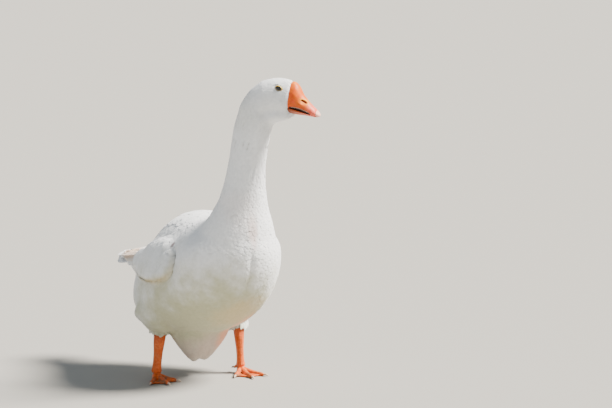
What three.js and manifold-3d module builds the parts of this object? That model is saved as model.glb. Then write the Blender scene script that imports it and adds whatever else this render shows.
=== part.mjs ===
// A white farmyard goose of the heavy Embden type at life size, standing still with its neck up
// and its head turned to its left. Millimetres, +Z up, breast towards -Y, the bird's left at +X.
// Every solid reaches out to the tips of the feathers. The bird is modelled whole and parted
// into head, neck, trunk, tail, wings, thighs, shanks, feet, claws, eyes and bill by thin cuts.
import * as THREE from "three";
import { ParametricGeometry } from "three/addons/geometries/ParametricGeometry.js";
import { mergeVertices } from "three/addons/utils/BufferGeometryUtils.js";
import Module from "manifold-3d";

const wasm = await Module();
wasm.setup();

const GAP = 0.3; // between neighbouring pieces

// Driving dimensions of the trunk, evenly spaced along Y from the breast to the root of the tail.
const BREAST_Y = -225;
const RUMP_Y = 205;
const TRUNK = {
  widestHeight: [302, 282, 228, 184, 174, 200], // how high the trunk is widest
  above: [82, 92, 137, 173, 157, 105], // from there up to the back
  below: [152, 170, 128, 94, 86, 87], // and down to the belly
  halfWidth: [126, 144, 134, 131, 116, 92],
  pear: 0.1, // how much wider the lower half is than the upper
};
// The two lobes of the paunch that hang between the legs.
const PAUNCH = { x: 13, y: 4, z: 92, halfWidth: 50, halfLength: 56, halfHeight: 62, taper: 0.64 };

// The neck's centre line from inside the breast up into the skull, with its half sizes.
const NECK = {
  line: [
    [0, -104, 240],
    [0, -148, 320],
    [0, -167, 390],
    [0.5, -178, 460],
    [4.5, -188, 525],
    [11, -197, 572],
    [26, -213, 606],
  ],
  halfWidth: [110, 87, 54.5, 39.5, 37.5, 37.5, 30],
  halfDepth: [106, 79, 52, 42, 41, 42, 32],
};

// The head's own frame: its origin lies just behind and below the point midway between the eyes,
// and its bill points to -Y.
const HEAD = {
  at: new THREE.Vector3(45, -241, 637),
  turn: 37, // degrees to the bird's left
  nod: 15, // degrees bill down
  line: [
    [0, -48, -8],
    [0, -10, -13],
    [0, 19, -22],
    [0, 35, -50],
    [0, 41, -86],
  ],
  halfWidth: [20, 28.5, 33, 35, 37],
  halfHeight: [31, 38.5, 37, 37.5, 39],
};
const NECK_CUT = { y: 40, z: -74, tilt: 20 }; // where the head is parted from the neck, in its frame
const FEATHER_EDGE = { top: [-24, 20], corner: [-29, -30] }; // [y, z] where the bill leaves the feathers
const CHIN = {
  line: [
    [0, 24, -64],
    [0, -4, -53],
    [0, -26, -48],
    [0, -46, -41.5],
  ],
  halfWidth: [28, 26, 16, 4.5],
  halfHeight: [22, 18, 10.5, 2.4],
};
const BILL = {
  // [y, top, bottom, half width] of its sections, from inside the head to the tip of the nail
  sections: [
    [-6, 24, -42, 20],
    [-24, 25.5, -43, 22.5],
    [-35, 21.5, -41.5, 22],
    [-43, 13.5, -40.5, 20],
    [-50, 4.5, -39.5, 18.5],
    [-60, -2.5, -37.5, 17.3],
    [-72, -10.5, -35.5, 16],
    [-84, -17, -34, 14],
    [-97, -24, -32, 9.5],
  ],
  gape: { corner: [-29, -29.5], tip: [-92, -31] }, // [y, z] of the line between the mandibles
  nail: { y: -82, slope: [0, -1, 0.25] },
};
const NOSTRIL = { x: 14, y: -57, z: -10.5, size: [6, 7.5, 2.2], tilt: 13 };
const EYE = { radius: 8.5, at: [20, -1.5, 3] };

// Wings: the centre line from the wrist back to the tips, with half thickness and half height.
const WING = {
  line: [
    [108, -81, 272],
    [113, -30, 264],
    [97, 44, 256],
    [70, 114, 239],
    [43, 180, 238],
    [18, 232, 240],
  ],
  halfThickness: [17, 20, 18, 13, 8, 4],
  halfHeight: [38, 54, 51, 31, 18, 9],
  lean: 27, // degrees that its face looks up
};
// The primaries' tips, stepped back and down from the innermost one.
const PRIMARIES = {
  count: 5,
  root: [72, 110, 246],
  tip: [13, 262, 243],
  halfWidth: 11,
  apart: 2,
  step: [4, -13, -1.5],
  drop: 3,
};

// Tail: the coverts' mass, then a fan of steering feathers.
const TAIL = {
  coverts: [[0, 150, 220], [0, 205, 231], [0, 258, 238]],
  halfWidth: [66, 54, 34],
  halfHeight: [34, 24, 7],
  feathers: 9,
  halfVane: 12.5,
  root: [0, 196, 239],
  length: 96,
  shorter: 0.17, // the outermost feathers' loss of length
  spacing: 18,
  spread: 30, // degrees from the first feather to the last
  fall: 3, // of every feather's tip below its root
  droop: 20, // how far the outer feathers lie below the middle one
};

// Lower legs: the hock where the feathers end, the ankle above the toes, the foot's turn out, and
// the turn of the shank, which is flattened from side to side.
const ANKLE_CUT = 6; // above the ankle
const LEGS = {
  left: { side: 1, hock: [92, -12, 100], ankle: [92, -20, 15], turn: -14, twist: -15 },
  right: { side: -1, hock: [-78, 36, 100], ankle: [-97, 22, 15], turn: 12, twist: 20 },
};
// Thighs: from the hip to just below the hock, cut off level where the feathers end.
const THIGH = {
  hip: [84, 30, 172],
  below: 6,
  halfWidth: [52, 47, 18],
  halfDepth: [62, 52, 21],
  endZ: 99,
};
// The shank runs on past the hock and the ankle by these shares of its length.
const SHANK = {
  shares: [-0.25, 0, 0.4, 0.8, 1.02],
  halfWidth: [12.5, 12.3, 10.2, 7.6, 7.8, 11],
  halfDepth: [16, 15.5, 13.6, 10.4, 10.6, 13.5],
};
const TOES = {
  middle: { length: 73, angle: 0 },
  outer: { length: 66, angle: 31 },
  inner: { length: 56, angle: -32 },
};
// A toe's half sizes from the ankle pad out to its tip, thicker at each joint, and its centre line's
// height at the pad, at the first joint, at the second one and at the tip.
const TOE = {
  halfWidth: [8.2, 5.6, 6.4, 4.9, 5.4, 4.2, 4.4, 3],
  halfHeight: [10, 7.2, 6.6, 5.2, 5.2, 4.2, 4.4, 2.6],
  joints: [-0.04, 0.3, 0.62, 1],
  height: [9.4, 6.4, 4.8, 3.8],
};
const PAD = { y: -2, z: 7, size: [9.5, 12, 8.6] }; // the ball of the foot, under the ankle
const HIND_TOE = { length: 17, z: 17, fall: 6, angle: 28, halfWidth: [4.6, 4, 3] };
const WEB = { low: 1.2, thickness: 2.4, reach: 0.9, hollow: 0.8 };
// A claw starts inside its toe, thins from root to point and bends down by its hook.
const CLAW = { length: 11, root: 3, hook: 2.6, arch: 0.4, radius: [3.1, 2.3, 0.5] };

const TAU = Math.PI * 2;
const { lerp, degToRad } = THREE.MathUtils;
const HEAD_PLACE = new THREE.Matrix4()
  .makeTranslation(HEAD.at)
  .multiply(new THREE.Matrix4().makeRotationZ(degToRad(HEAD.turn)))
  .multiply(new THREE.Matrix4().makeRotationX(degToRad(HEAD.nod)));

// A smooth value at t, from 0 to 1, through evenly spaced values.
function swell(values, t) {
  const last = values.length - 1;
  const place = THREE.MathUtils.clamp(t, 0, 1) * last;
  const i = Math.min(Math.floor(place), last - 1);
  const f = place - i;
  const b = values[i];
  const c = values[i + 1];
  const a = i > 0 ? values[i - 1] : 2 * b - c;
  const d = i + 2 <= last ? values[i + 2] : 2 * c - b;
  return b + 0.5 * f * (c - a + f * (2 * a - 5 * b + 4 * c - d + f * (3 * (b - c) + d - a)));
}

// A closed manifold from a geometry whose seams and poles may be doubled.
function manifoldOf(geometry) {
  geometry.deleteAttribute("normal");
  geometry.deleteAttribute("uv");
  const merged = mergeVertices(geometry, 1e-3);
  const corners = merged.index.array;
  const kept = [];
  for (let i = 0; i < corners.length; i += 3) {
    const [a, b, c] = corners.subarray(i, i + 3);
    if (a !== b && b !== c && c !== a) kept.push(a, b, c);
  }
  const build = (triVerts) =>
    new wasm.Manifold(
      new wasm.Mesh({
        numProp: 3,
        vertProperties: merged.attributes.position.array,
        triVerts: new Uint32Array(triVerts),
      }),
    );
  const made = build(kept);
  if (made.volume() > 0) return made;
  for (let i = 0; i < kept.length; i += 3) [kept[i], kept[i + 1]] = [kept[i + 1], kept[i]];
  return build(kept);
}

// The surface place(t, angle) as a solid. Its first and last rows, t = 0 and 1, close to a point.
function solid(place, rows, around) {
  const sweep = (u, v, target) => target.copy(place(v, (u % 1) * TAU));
  return manifoldOf(new ParametricGeometry(sweep, around, rows));
}

// How wide rounded ends leave a tube at t, with the ends taking up the shares a and b of it.
function rounded(t, a, b) {
  const near = Math.min(t / a, (1 - t) / b, 1);
  return Math.sqrt(1 - (1 - near) ** 2);
}

// A tube along a smooth line, with half sizes across it and up it, and rounded ends.
function limb({ line, across, up, rows, around, side = [1, 0, 0], ends = [0.15, 0.15], grow = 0 }) {
  const points = line.map((p) => new THREE.Vector3(...p));
  const curve = new THREE.CatmullRomCurve3(points, false, "centripetal");
  const lean = new THREE.Vector3(...side).normalize();
  return solid(
    (v, angle) => {
      const t = (1 - Math.cos(Math.PI * v)) / 2;
      const tangent = curve.getTangent(t);
      const right = lean.clone().addScaledVector(tangent, -lean.dot(tangent)).normalize();
      const above = new THREE.Vector3().crossVectors(right, tangent);
      const size = rounded(t, ...ends);
      return curve
        .getPoint(t)
        .addScaledVector(right, (swell(across, t) + grow) * size * Math.cos(angle))
        .addScaledVector(above, (swell(up, t) + grow) * size * Math.sin(angle));
    },
    rows,
    around,
  );
}

function join(...pieces) {
  return pieces.reduce((all, piece) => all.add(piece));
}

// The largest body of a solid, without the slivers that a cut leaves.
function main(piece) {
  return piece.decompose().sort((a, b) => b.volume() - a.volume())[0];
}

// Parts a solid by a plane, and returns the piece that the normal points to and the other one.
function part(piece, point, normal) {
  const n = new THREE.Vector3(...normal).normalize();
  const offset = n.dot(new THREE.Vector3(...point));
  return [
    piece.trimByPlane(n.toArray(), offset + GAP / 2),
    piece.trimByPlane(n.clone().negate().toArray(), GAP / 2 - offset),
  ];
}

// Trunk: a deep, pear-shaped boat, with a two-lobed paunch under it.
function trunkForm(grow = 0) {
  const boat = solid(
    (v, angle) => {
      const s = (1 - Math.cos(Math.PI * v)) / 2;
      const size = Math.sin(Math.PI * v);
      const rise = Math.sin(angle);
      const height = swell(rise > 0 ? TRUNK.above : TRUNK.below, s);
      const width = swell(TRUNK.halfWidth, s) * (1 - TRUNK.pear * rise);
      return new THREE.Vector3(
        (width + grow) * size * Math.cos(angle),
        lerp(BREAST_Y, RUMP_Y, s) - grow * Math.cos(Math.PI * v),
        swell(TRUNK.widestHeight, s) + (height + grow) * size * rise,
      );
    },
    18,
    28,
  );
  const lobe = (x) =>
    solid(
      (v, angle) => {
        const size = Math.sin(Math.PI * v);
        const rise = size * Math.sin(angle);
        const taper = 1 + PAUNCH.taper * rise;
        return new THREE.Vector3(
          x + (PAUNCH.halfWidth + grow) * taper * size * Math.cos(angle),
          PAUNCH.y - (PAUNCH.halfLength + grow) * taper * Math.cos(Math.PI * v),
          PAUNCH.z + (PAUNCH.halfHeight + grow) * rise,
        );
      },
      9,
      12,
    );
  return join(boat, lobe(PAUNCH.x), lobe(-PAUNCH.x));
}

// Places a solid of the head's own frame on the bird.
function onHead(piece) {
  return piece.transform(HEAD_PLACE.elements);
}

function neckForm() {
  return limb({
    line: NECK.line,
    across: NECK.halfWidth,
    up: NECK.halfDepth,
    ends: [0.12, 0.08],
    rows: 15,
    around: 21,
  });
}

function skullForm() {
  return limb({
    line: HEAD.line,
    across: HEAD.halfWidth,
    up: HEAD.halfHeight,
    ends: [0.1, 0.12],
    rows: 14,
    around: 20,
  });
}

// Bill: high and swollen at its base, then sloping straight down to the nail.
function billForm() {
  const size = (index, t) =>
    swell(
      BILL.sections.map((section) => section[index]),
      t,
    );
  return solid(
    (v, angle) => {
      const t = (1 - Math.cos(Math.PI * v)) / 2;
      const [y, top, bottom, halfWidth] = [0, 1, 2, 3].map((index) => size(index, t));
      const close = rounded(t, 0.06, 0.08);
      return new THREE.Vector3(
        halfWidth * close * Math.cos(angle),
        y,
        (top + bottom) / 2 - ((top - bottom) / 2) * close * Math.sin(angle),
      );
    },
    16,
    16,
  );
}

// Bill, eyes and head, all in the head's own frame.
function headPieces() {
  const [topY, topZ] = FEATHER_EDGE.top;
  const [cornerY, cornerZ] = FEATHER_EDGE.corner;
  const edgeNormal = [0, -(topZ - cornerZ), topY - cornerY];
  const [, skull] = part(skullForm(), [0, topY, topZ], edgeNormal);
  const [bill] = part(billForm(), [0, topY, topZ], edgeNormal);
  const { corner, tip } = BILL.gape;
  const gapeNormal = [0, tip[1] - corner[1], corner[0] - tip[0]];
  const [above, below] = part(bill, [0, ...corner], gapeNormal);
  const [nail, upper] = part(above, [0, BILL.nail.y, 0], BILL.nail.slope);
  const nostril = (x) => {
    const pit = new THREE.SphereGeometry(1, 8, 6).scale(...NOSTRIL.size);
    return manifoldOf(pit.rotateX(degToRad(NOSTRIL.tilt)).translate(x, NOSTRIL.y, NOSTRIL.z));
  };
  const chin = limb({
    line: CHIN.line,
    across: CHIN.halfWidth,
    up: CHIN.halfHeight,
    rows: 7,
    around: 10,
  });
  const grown = below.add(above).translate(0, 0, -GAP);
  const eye = (side, grow = 0) => {
    const [x, y, z] = EYE.at;
    const ball = new THREE.SphereGeometry(EYE.radius + grow, 10, 7);
    return manifoldOf(ball.translate(side * x, y, z));
  };
  return {
    head: join(skull, chin.subtract(grown)).subtract(eye(1, GAP)).subtract(eye(-1, GAP)),
    bill_upper: upper.subtract(nostril(NOSTRIL.x)).subtract(nostril(-NOSTRIL.x)),
    bill_lower: main(below),
    bill_nail: nail,
    eye_left: eye(1),
    eye_right: eye(-1),
  };
}

// A flat, pointed feather from its root to its tip.
function blade({ root, tip, halfWidth, side, thickness = 2.2, grow = 0 }) {
  const [a, b] = [new THREE.Vector3(...root), new THREE.Vector3(...tip)];
  return limb({
    line: [a.toArray(), a.clone().lerp(b, 0.5).toArray(), b.toArray()],
    across: [halfWidth * 0.6, halfWidth, halfWidth, halfWidth * 0.9],
    up: [thickness, thickness, thickness * 0.8, thickness * 0.6],
    ends: [0.2, 0.16],
    side,
    rows: 5,
    around: 6,
    grow,
  });
}

// The left wing, folded. The right one is its mirror image.
function wingForm() {
  const lean = degToRad(WING.lean);
  const out = [Math.cos(lean), 0, Math.sin(lean)];
  const arm = limb({
    line: WING.line,
    across: WING.halfThickness,
    up: WING.halfHeight,
    side: out,
    ends: [0.16, 0.1],
    rows: 15,
    around: 14,
  });
  const flat = [-Math.sin(lean), 0.1, Math.cos(lean)];
  const { count, root, tip, halfWidth, apart, step, drop } = PRIMARIES;
  const vanes = Array.from({ length: count }, (_, i) =>
    blade({
      root: [root[0] + i * apart, root[1], root[2] - i * drop],
      tip: tip.map((at, axis) => at + i * step[axis]),
      halfWidth,
      side: flat,
    }),
  );
  return join(arm, ...vanes);
}

function tailForm(grow = 0) {
  const coverts = limb({
    line: TAIL.coverts,
    across: TAIL.halfWidth,
    up: TAIL.halfHeight,
    ends: [0.1, 0.12],
    rows: 8,
    around: 14,
    grow,
  });
  const half = (TAIL.feathers - 1) / 2;
  const fan = Array.from({ length: TAIL.feathers }, (_, k) => {
    const share = (k - half) / half;
    const angle = degToRad((share * TAIL.spread) / 2);
    const reach = TAIL.length * (1 - TAIL.shorter * share * share);
    const [x, y, z] = TAIL.root;
    const drop = TAIL.droop * share * share;
    return blade({
      root: [x + share * TAIL.spacing, y, z - drop * 0.5],
      tip: [
        x + share * TAIL.spacing + reach * Math.sin(angle),
        y + reach * Math.cos(angle),
        z - TAIL.fall - drop,
      ],
      halfWidth: TAIL.halfVane,
      side: [Math.cos(angle), -Math.sin(angle), -share * 0.25],
      grow,
    });
  });
  return join(coverts, ...fan);
}

// A web between two toes, hollowed at its front edge.
function web(a, b) {
  const end = ({ length, angle }) =>
    new THREE.Vector2(0, -length * WEB.reach).rotateAround(new THREE.Vector2(), degToRad(angle));
  const [p, q] = [end(a), end(b)];
  const bow = p.clone().add(q).multiplyScalar(WEB.hollow / 2);
  const outline = new THREE.Shape().moveTo(0, 0).lineTo(p.x, p.y);
  outline.quadraticCurveTo(bow.x, bow.y, q.x, q.y).lineTo(0, 0);
  const flat = new THREE.ExtrudeGeometry(outline, {
    depth: WEB.thickness,
    bevelEnabled: false,
    curveSegments: 4,
  });
  return manifoldOf(flat.translate(0, 0, WEB.low));
}

// A toe along -Y of its own frame, then turned by its angle about the ankle.
function toe({ length, angle }, grow = 0) {
  return limb({
    line: TOE.joints.map((share, i) => [0, -length * share, TOE.height[i]]),
    across: TOE.halfWidth,
    up: TOE.halfHeight,
    ends: [0.12, 0.08],
    rows: 8,
    around: 8,
    grow,
  }).rotate(0, 0, angle);
}

// A claw at the tip of a toe of that length, at that height.
function claw(length, angle, z) {
  return limb({
    line: [
      [0, -length + CLAW.root, z],
      [0, -length - CLAW.length * 0.45, z + CLAW.arch],
      [0, -length - CLAW.length, z - CLAW.hook],
    ],
    across: CLAW.radius,
    up: CLAW.radius,
    ends: [0.2, 0.1],
    rows: 4,
    around: 5,
  }).rotate(0, 0, angle);
}

// One foot in its own frame, ankle over the origin and toes to -Y, with its outer side at +X.
function footPieces() {
  const { middle, outer, inner } = TOES;
  const hind = (grow = 0) =>
    limb({
      line: [
        [0, 0, HIND_TOE.z],
        [0, HIND_TOE.length * 0.6, HIND_TOE.z - HIND_TOE.fall * 0.4],
        [0, HIND_TOE.length, HIND_TOE.z - HIND_TOE.fall],
      ],
      across: HIND_TOE.halfWidth,
      up: HIND_TOE.halfWidth,
      rows: 5,
      around: 6,
      grow,
    }).rotate(0, 0, HIND_TOE.angle);
  const ball = new THREE.SphereGeometry(1, 10, 7).rotateX(Math.PI / 2).scale(...PAD.size);
  const pad = manifoldOf(ball.translate(0, PAD.y, PAD.z));
  const toes = join(toe(middle), toe(outer), toe(inner));
  const front = join(toes, web(inner, middle), web(middle, outer), pad);
  const grown = join(toe(middle, GAP), toe(outer, GAP), toe(inner, GAP));
  const onFloor = (piece) => piece.trimByPlane([0, 0, 1], 0);
  const clawOf = ({ length, angle }) =>
    main(onFloor(claw(length, angle, TOE.height.at(-1) + CLAW.arch).subtract(grown)));
  const claws = { inner: clawOf(inner), middle: clawOf(middle), outer: clawOf(outer) };
  const back = claw(HIND_TOE.length, 180 + HIND_TOE.angle, HIND_TOE.z - HIND_TOE.fall);
  claws.hind = main(back.subtract(hind(GAP)));
  return { foot: join(onFloor(front), hind()), claws };
}

function shankForm({ hock, ankle, twist }) {
  const [h, a] = [new THREE.Vector3(...hock), new THREE.Vector3(...ankle)];
  const line = SHANK.shares.map((share) => h.clone().lerp(a, share).toArray());
  return limb({
    line,
    side: [Math.cos(degToRad(twist)), Math.sin(degToRad(twist)), 0],
    across: SHANK.halfWidth,
    up: SHANK.halfDepth,
    ends: [0.08, 0.06],
    rows: 11,
    around: 10,
  });
}

function thighForm({ side, hock }) {
  const [x, y, z] = THIGH.hip;
  return limb({
    line: [
      [side * x, y + hock[1] * 0.5, z],
      [(side * x + hock[0]) / 2, (y + hock[1]) / 2, (z + hock[2]) / 2],
      [hock[0], hock[1], hock[2] - THIGH.below],
    ],
    across: THIGH.halfWidth,
    up: THIGH.halfDepth,
    ends: [0.2, 0.2],
    rows: 9,
    around: 14,
  });
}

const SKIN = { color: 0xf3f2ee, roughness: 0.8 };
const ORANGE = { color: 0xe8762e, roughness: 0.5 };
const HORN = { color: 0xe9c4ae, roughness: 0.45 };
const DARK = { color: 0x1a1210, roughness: 0.1 };

const pieces = new Map();
const add = (name, piece, look) => pieces.set(name, { piece, look });

const trunk = trunkForm();
const grownTrunk = trunkForm(GAP);
const head = headPieces();
const bust = join(neckForm(), onHead(head.head));
const cutPoint = new THREE.Vector3(0, NECK_CUT.y, NECK_CUT.z).applyMatrix4(HEAD_PLACE);
const cutNormal = new THREE.Vector3(0, 0, 1)
  .applyAxisAngle(new THREE.Vector3(1, 0, 0), degToRad(NECK_CUT.tilt))
  .transformDirection(HEAD_PLACE);
const [skull, stem] = part(bust, cutPoint.toArray(), cutNormal.toArray());
add("trunk", trunk, SKIN);
add("neck", main(stem.subtract(grownTrunk)), SKIN);
add("head", main(skull), SKIN);
for (const name of ["bill_upper", "bill_lower"]) add(name, onHead(head[name]), ORANGE);
add("bill_nail", onHead(head.bill_nail), HORN);
add("eye_left", onHead(head.eye_left), DARK);
add("eye_right", onHead(head.eye_right), DARK);

const tail = main(tailForm().subtract(grownTrunk));
const beneathWings = join(grownTrunk, tailForm(GAP));
const wing = wingForm();
add("wing_left", main(wing.subtract(beneathWings)), SKIN);
add("wing_right", main(wing.mirror([1, 0, 0]).subtract(beneathWings)), SKIN);
add("tail", tail, SKIN);

for (const [name, leg] of Object.entries(LEGS)) {
  const whole = join(thighForm(leg).subtract(grownTrunk), shankForm(leg));
  const [thigh, shank] = part(whole, [0, 0, THIGH.endZ], [0, 0, 1]);
  const { foot, claws } = footPieces();
  const place = (piece) => {
    const sided = leg.side > 0 ? piece : piece.mirror([1, 0, 0]);
    return sided.rotate(0, 0, leg.side * leg.turn).translate(leg.ankle[0], leg.ankle[1], 0);
  };
  const lower = join(shank, place(foot));
  const [shin, sole] = part(lower, [0, 0, leg.ankle[2] + ANKLE_CUT], [0, 0, 1]);
  add(`thigh_${name}`, main(thigh.subtract(grownTrunk)), SKIN);
  add(`shank_${name}`, main(shin), ORANGE);
  add(`foot_${name}`, main(sole), ORANGE);
  for (const [toeName, piece] of Object.entries(claws)) {
    add(`claw_${toeName}_${name}`, place(piece), HORN);
  }
}

const goose = new THREE.Group();
goose.name = "goose";
for (const [name, { piece, look }] of pieces) {
  const mesh = piece.getMesh();
  const geometry = new THREE.BufferGeometry();
  geometry.setAttribute("position", new THREE.BufferAttribute(mesh.vertProperties, 3));
  geometry.setIndex(new THREE.BufferAttribute(mesh.triVerts, 1));
  geometry.computeVertexNormals();
  const made = new THREE.Mesh(geometry, new THREE.MeshStandardMaterial(look));
  made.name = name;
  goose.add(made);
}

// The origin is on the floor, under the middle of the bird's box.
const box = new THREE.Box3().setFromObject(goose);
goose.position.set(-(box.min.x + box.max.x) / 2, -(box.min.y + box.max.y) / 2, -box.min.z);

export default goose;
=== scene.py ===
# A white farmyard goose, standing still with its neck up and its head turned to its left.
# Skin, feathers, bill, eyes, lids, legs and claws are made in the order of this file.
import math

import bmesh
import bpy
import numpy as np
from mathutils import Matrix, Vector
from mathutils.bvhtree import BVHTree
from mathutils.kdtree import KDTree


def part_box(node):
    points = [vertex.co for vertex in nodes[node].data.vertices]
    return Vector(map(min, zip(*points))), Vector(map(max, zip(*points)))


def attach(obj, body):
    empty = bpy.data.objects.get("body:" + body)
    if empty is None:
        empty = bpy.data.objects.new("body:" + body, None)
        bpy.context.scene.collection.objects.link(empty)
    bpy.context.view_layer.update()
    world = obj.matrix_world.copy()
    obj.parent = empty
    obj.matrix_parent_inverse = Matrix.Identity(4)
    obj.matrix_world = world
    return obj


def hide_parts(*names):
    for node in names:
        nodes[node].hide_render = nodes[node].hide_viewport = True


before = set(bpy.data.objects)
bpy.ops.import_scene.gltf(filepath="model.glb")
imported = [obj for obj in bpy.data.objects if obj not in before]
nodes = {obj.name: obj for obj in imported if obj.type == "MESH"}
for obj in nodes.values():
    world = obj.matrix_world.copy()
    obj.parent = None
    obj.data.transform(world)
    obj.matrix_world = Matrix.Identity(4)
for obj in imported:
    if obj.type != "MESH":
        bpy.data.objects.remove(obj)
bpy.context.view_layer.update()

# --- Camera -------------------------------------------------------------------------------
# A 200 mm lens 7.3 m away on the bird's right front, 8 degrees above the level of its body.
# The bird stands left of the middle, with its bill well inside the right half.
EYES_FROM_STAND = Vector((0.045, -0.241, 0.637))
corners = [corner for side in ("left", "right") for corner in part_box(f"eye_{side}")]
eyes_middle = sum(corners, Vector()) / 4
stand_point = eyes_middle - EYES_FROM_STAND  # on the floor between the ankles
camera_turn = math.radians(-35)
camera_tip = math.radians(8)
camera_away = 7.3
frame_width = 612
frame_height = 408
stand_pixel = (201, 375)  # where stand_point shows in the frame
pixels_per_slope = 200 / 36 * frame_width
to_right = Vector((math.cos(camera_turn), math.sin(camera_turn), 0))
to_camera = Vector(
    (
        math.sin(camera_turn) * math.cos(camera_tip),
        -math.cos(camera_turn) * math.cos(camera_tip),
        math.sin(camera_tip),
    )
)
to_top = to_camera.cross(to_right)
off_right = (stand_pixel[0] - frame_width / 2) / pixels_per_slope * camera_away
off_top = (frame_height / 2 - stand_pixel[1]) / pixels_per_slope * camera_away
lens = bpy.data.cameras.new("camera")
lens.lens = 200
lens.sensor_width = 36
lens.clip_end = 300
camera = bpy.data.objects.new("camera", lens)
camera.matrix_world = Matrix(
    [(*row, 0) for row in zip(to_right, to_top, to_camera)] + [(0, 0, 0, 1)]
)
camera.location = (
    stand_point - to_right * off_right - to_top * off_top + to_camera * camera_away
)
bpy.context.collection.objects.link(camera)
bpy.context.scene.camera = camera

# --- Floor and light ----------------------------------------------------------------------
# A wide pale floor, soft light all round, a broad soft light from high on the right, and a weak
# lamp on the near side.
floor_mesh = bpy.data.meshes.new("floor")
floor_mesh.from_pydata(
    [(-60, -60, 0), (60, -60, 0), (60, 60, 0), (-60, 60, 0)], [], [(0, 1, 2, 3)]
)
floor = bpy.data.objects.new("floor", floor_mesh)
bpy.context.collection.objects.link(floor)


def new_paint(name):
    """A material, with its node tree and its main shader."""
    paint = bpy.data.materials.new(name)
    paint.use_nodes = True
    return paint, paint.node_tree, paint.node_tree.nodes["Principled BSDF"]


floor_paint, _, floor_shader = new_paint("floor")
floor_shader.inputs["Base Color"].default_value = (0.34, 0.325, 0.295, 1)
floor_shader.inputs["Roughness"].default_value = 0.9
floor_shader.inputs["Specular IOR Level"].default_value = 0.2
floor_mesh.materials.append(floor_paint)

world = bpy.data.worlds.new("studio")
world.use_nodes = True
world.node_tree.nodes["Background"].inputs["Color"].default_value = (0.75, 0.87, 1.0, 1)
world.node_tree.nodes["Background"].inputs["Strength"].default_value = 0.46
bpy.context.scene.world = world

body_point = stand_point + Vector((0, -0.03, 0.3))
KEY_WAY = to_right * 2.8 + to_top * 3.2 + to_camera * 0.3
FILL_WAY = to_right * -2.2 + to_top * 1.0 + to_camera * 3.0
key_light = bpy.data.lights.new("key", "SUN")
key_light.energy = 17.0
key_light.angle = 0.36
key_light.color = (1.0, 0.95, 0.88)
fill_light = bpy.data.lights.new("fill", "AREA")
fill_light.shape = "DISK"
fill_light.size = 2.4
fill_light.energy = 25
fill_light.color = (0.9, 0.95, 1.0)
for light, way in ((key_light, KEY_WAY), (fill_light, FILL_WAY)):
    lamp = bpy.data.objects.new(light.name, light)
    lamp.location = body_point + way
    lamp.rotation_mode = "QUATERNION"
    lamp.rotation_quaternion = way.to_track_quat("Z", "Y")
    bpy.context.collection.objects.link(lamp)

# --- Skin ---------------------------------------------------------------------------------
# The bare skin under the plumage, one closed surface from the bill's root to the tail and down
# over the thighs. It lies under the tips of the feathers by the depth of the coat.
BILL_NODES = ("bill_upper", "bill_lower", "bill_nail")
FLESH = (
    "trunk",
    "neck",
    "head",
    "wing_left",
    "wing_right",
    "tail",
    "thigh_left",
    "thigh_right",
)
FLESH_ENDS = {"tail": 0.262, "wing_left": 0.222, "wing_right": 0.222}  # rear ends, along Y
SKIN_GRAIN = 0.0027  # size of the skin's faces


def joined_solids(names, rear_ends=None, grow=0.0004):
    """The CAD solids of these names in one mesh, each of them closed and a hair thicker."""
    whole = bmesh.new()
    for name in names:
        piece = bmesh.new()
        piece.from_mesh(nodes[name].data)
        bmesh.ops.remove_doubles(piece, verts=piece.verts, dist=1e-5)
        rear_end = (rear_ends or {}).get(name)
        if rear_end is not None:
            cut = bmesh.ops.bisect_plane(
                piece,
                geom=piece.verts[:] + piece.edges[:] + piece.faces[:],
                plane_co=(0, rear_end, 0),
                plane_no=(0, 1, 0),
                clear_outer=True,
            )
            rim = [item for item in cut["geom_cut"] if isinstance(item, bmesh.types.BMEdge)]
            bmesh.ops.holes_fill(piece, edges=rim)
        piece.normal_update()
        places = [vert.co + vert.normal * grow for vert in piece.verts]
        for vert, place in zip(piece.verts, places):
            vert.co = place
        passing = bpy.data.meshes.new("passing")
        piece.to_mesh(passing)
        whole.from_mesh(passing)
        bpy.data.meshes.remove(passing)
        piece.free()
    made = bpy.data.meshes.new("joined")
    whole.to_mesh(made)
    whole.free()
    return made


def evenly_faced(mesh, grain):
    """Points and four-sided faces of one closed surface round everything in the mesh."""
    thing = bpy.data.objects.new("evenly_faced", mesh)
    bpy.context.collection.objects.link(thing)
    remesh = thing.modifiers.new("even", "REMESH")
    remesh.mode = "VOXEL"
    remesh.voxel_size = grain
    remesh.adaptivity = 0
    graph = bpy.context.evaluated_depsgraph_get()
    even = bpy.data.meshes.new_from_object(thing.evaluated_get(graph))
    bpy.data.objects.remove(thing)
    points = np.empty(len(even.vertices) * 3)
    even.vertices.foreach_get("co", points)
    faces = np.empty(len(even.loops), int)
    even.loops.foreach_get("vertex_index", faces)
    bpy.data.meshes.remove(even)
    return points.reshape(-1, 3), faces.reshape(-1, 4)


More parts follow.
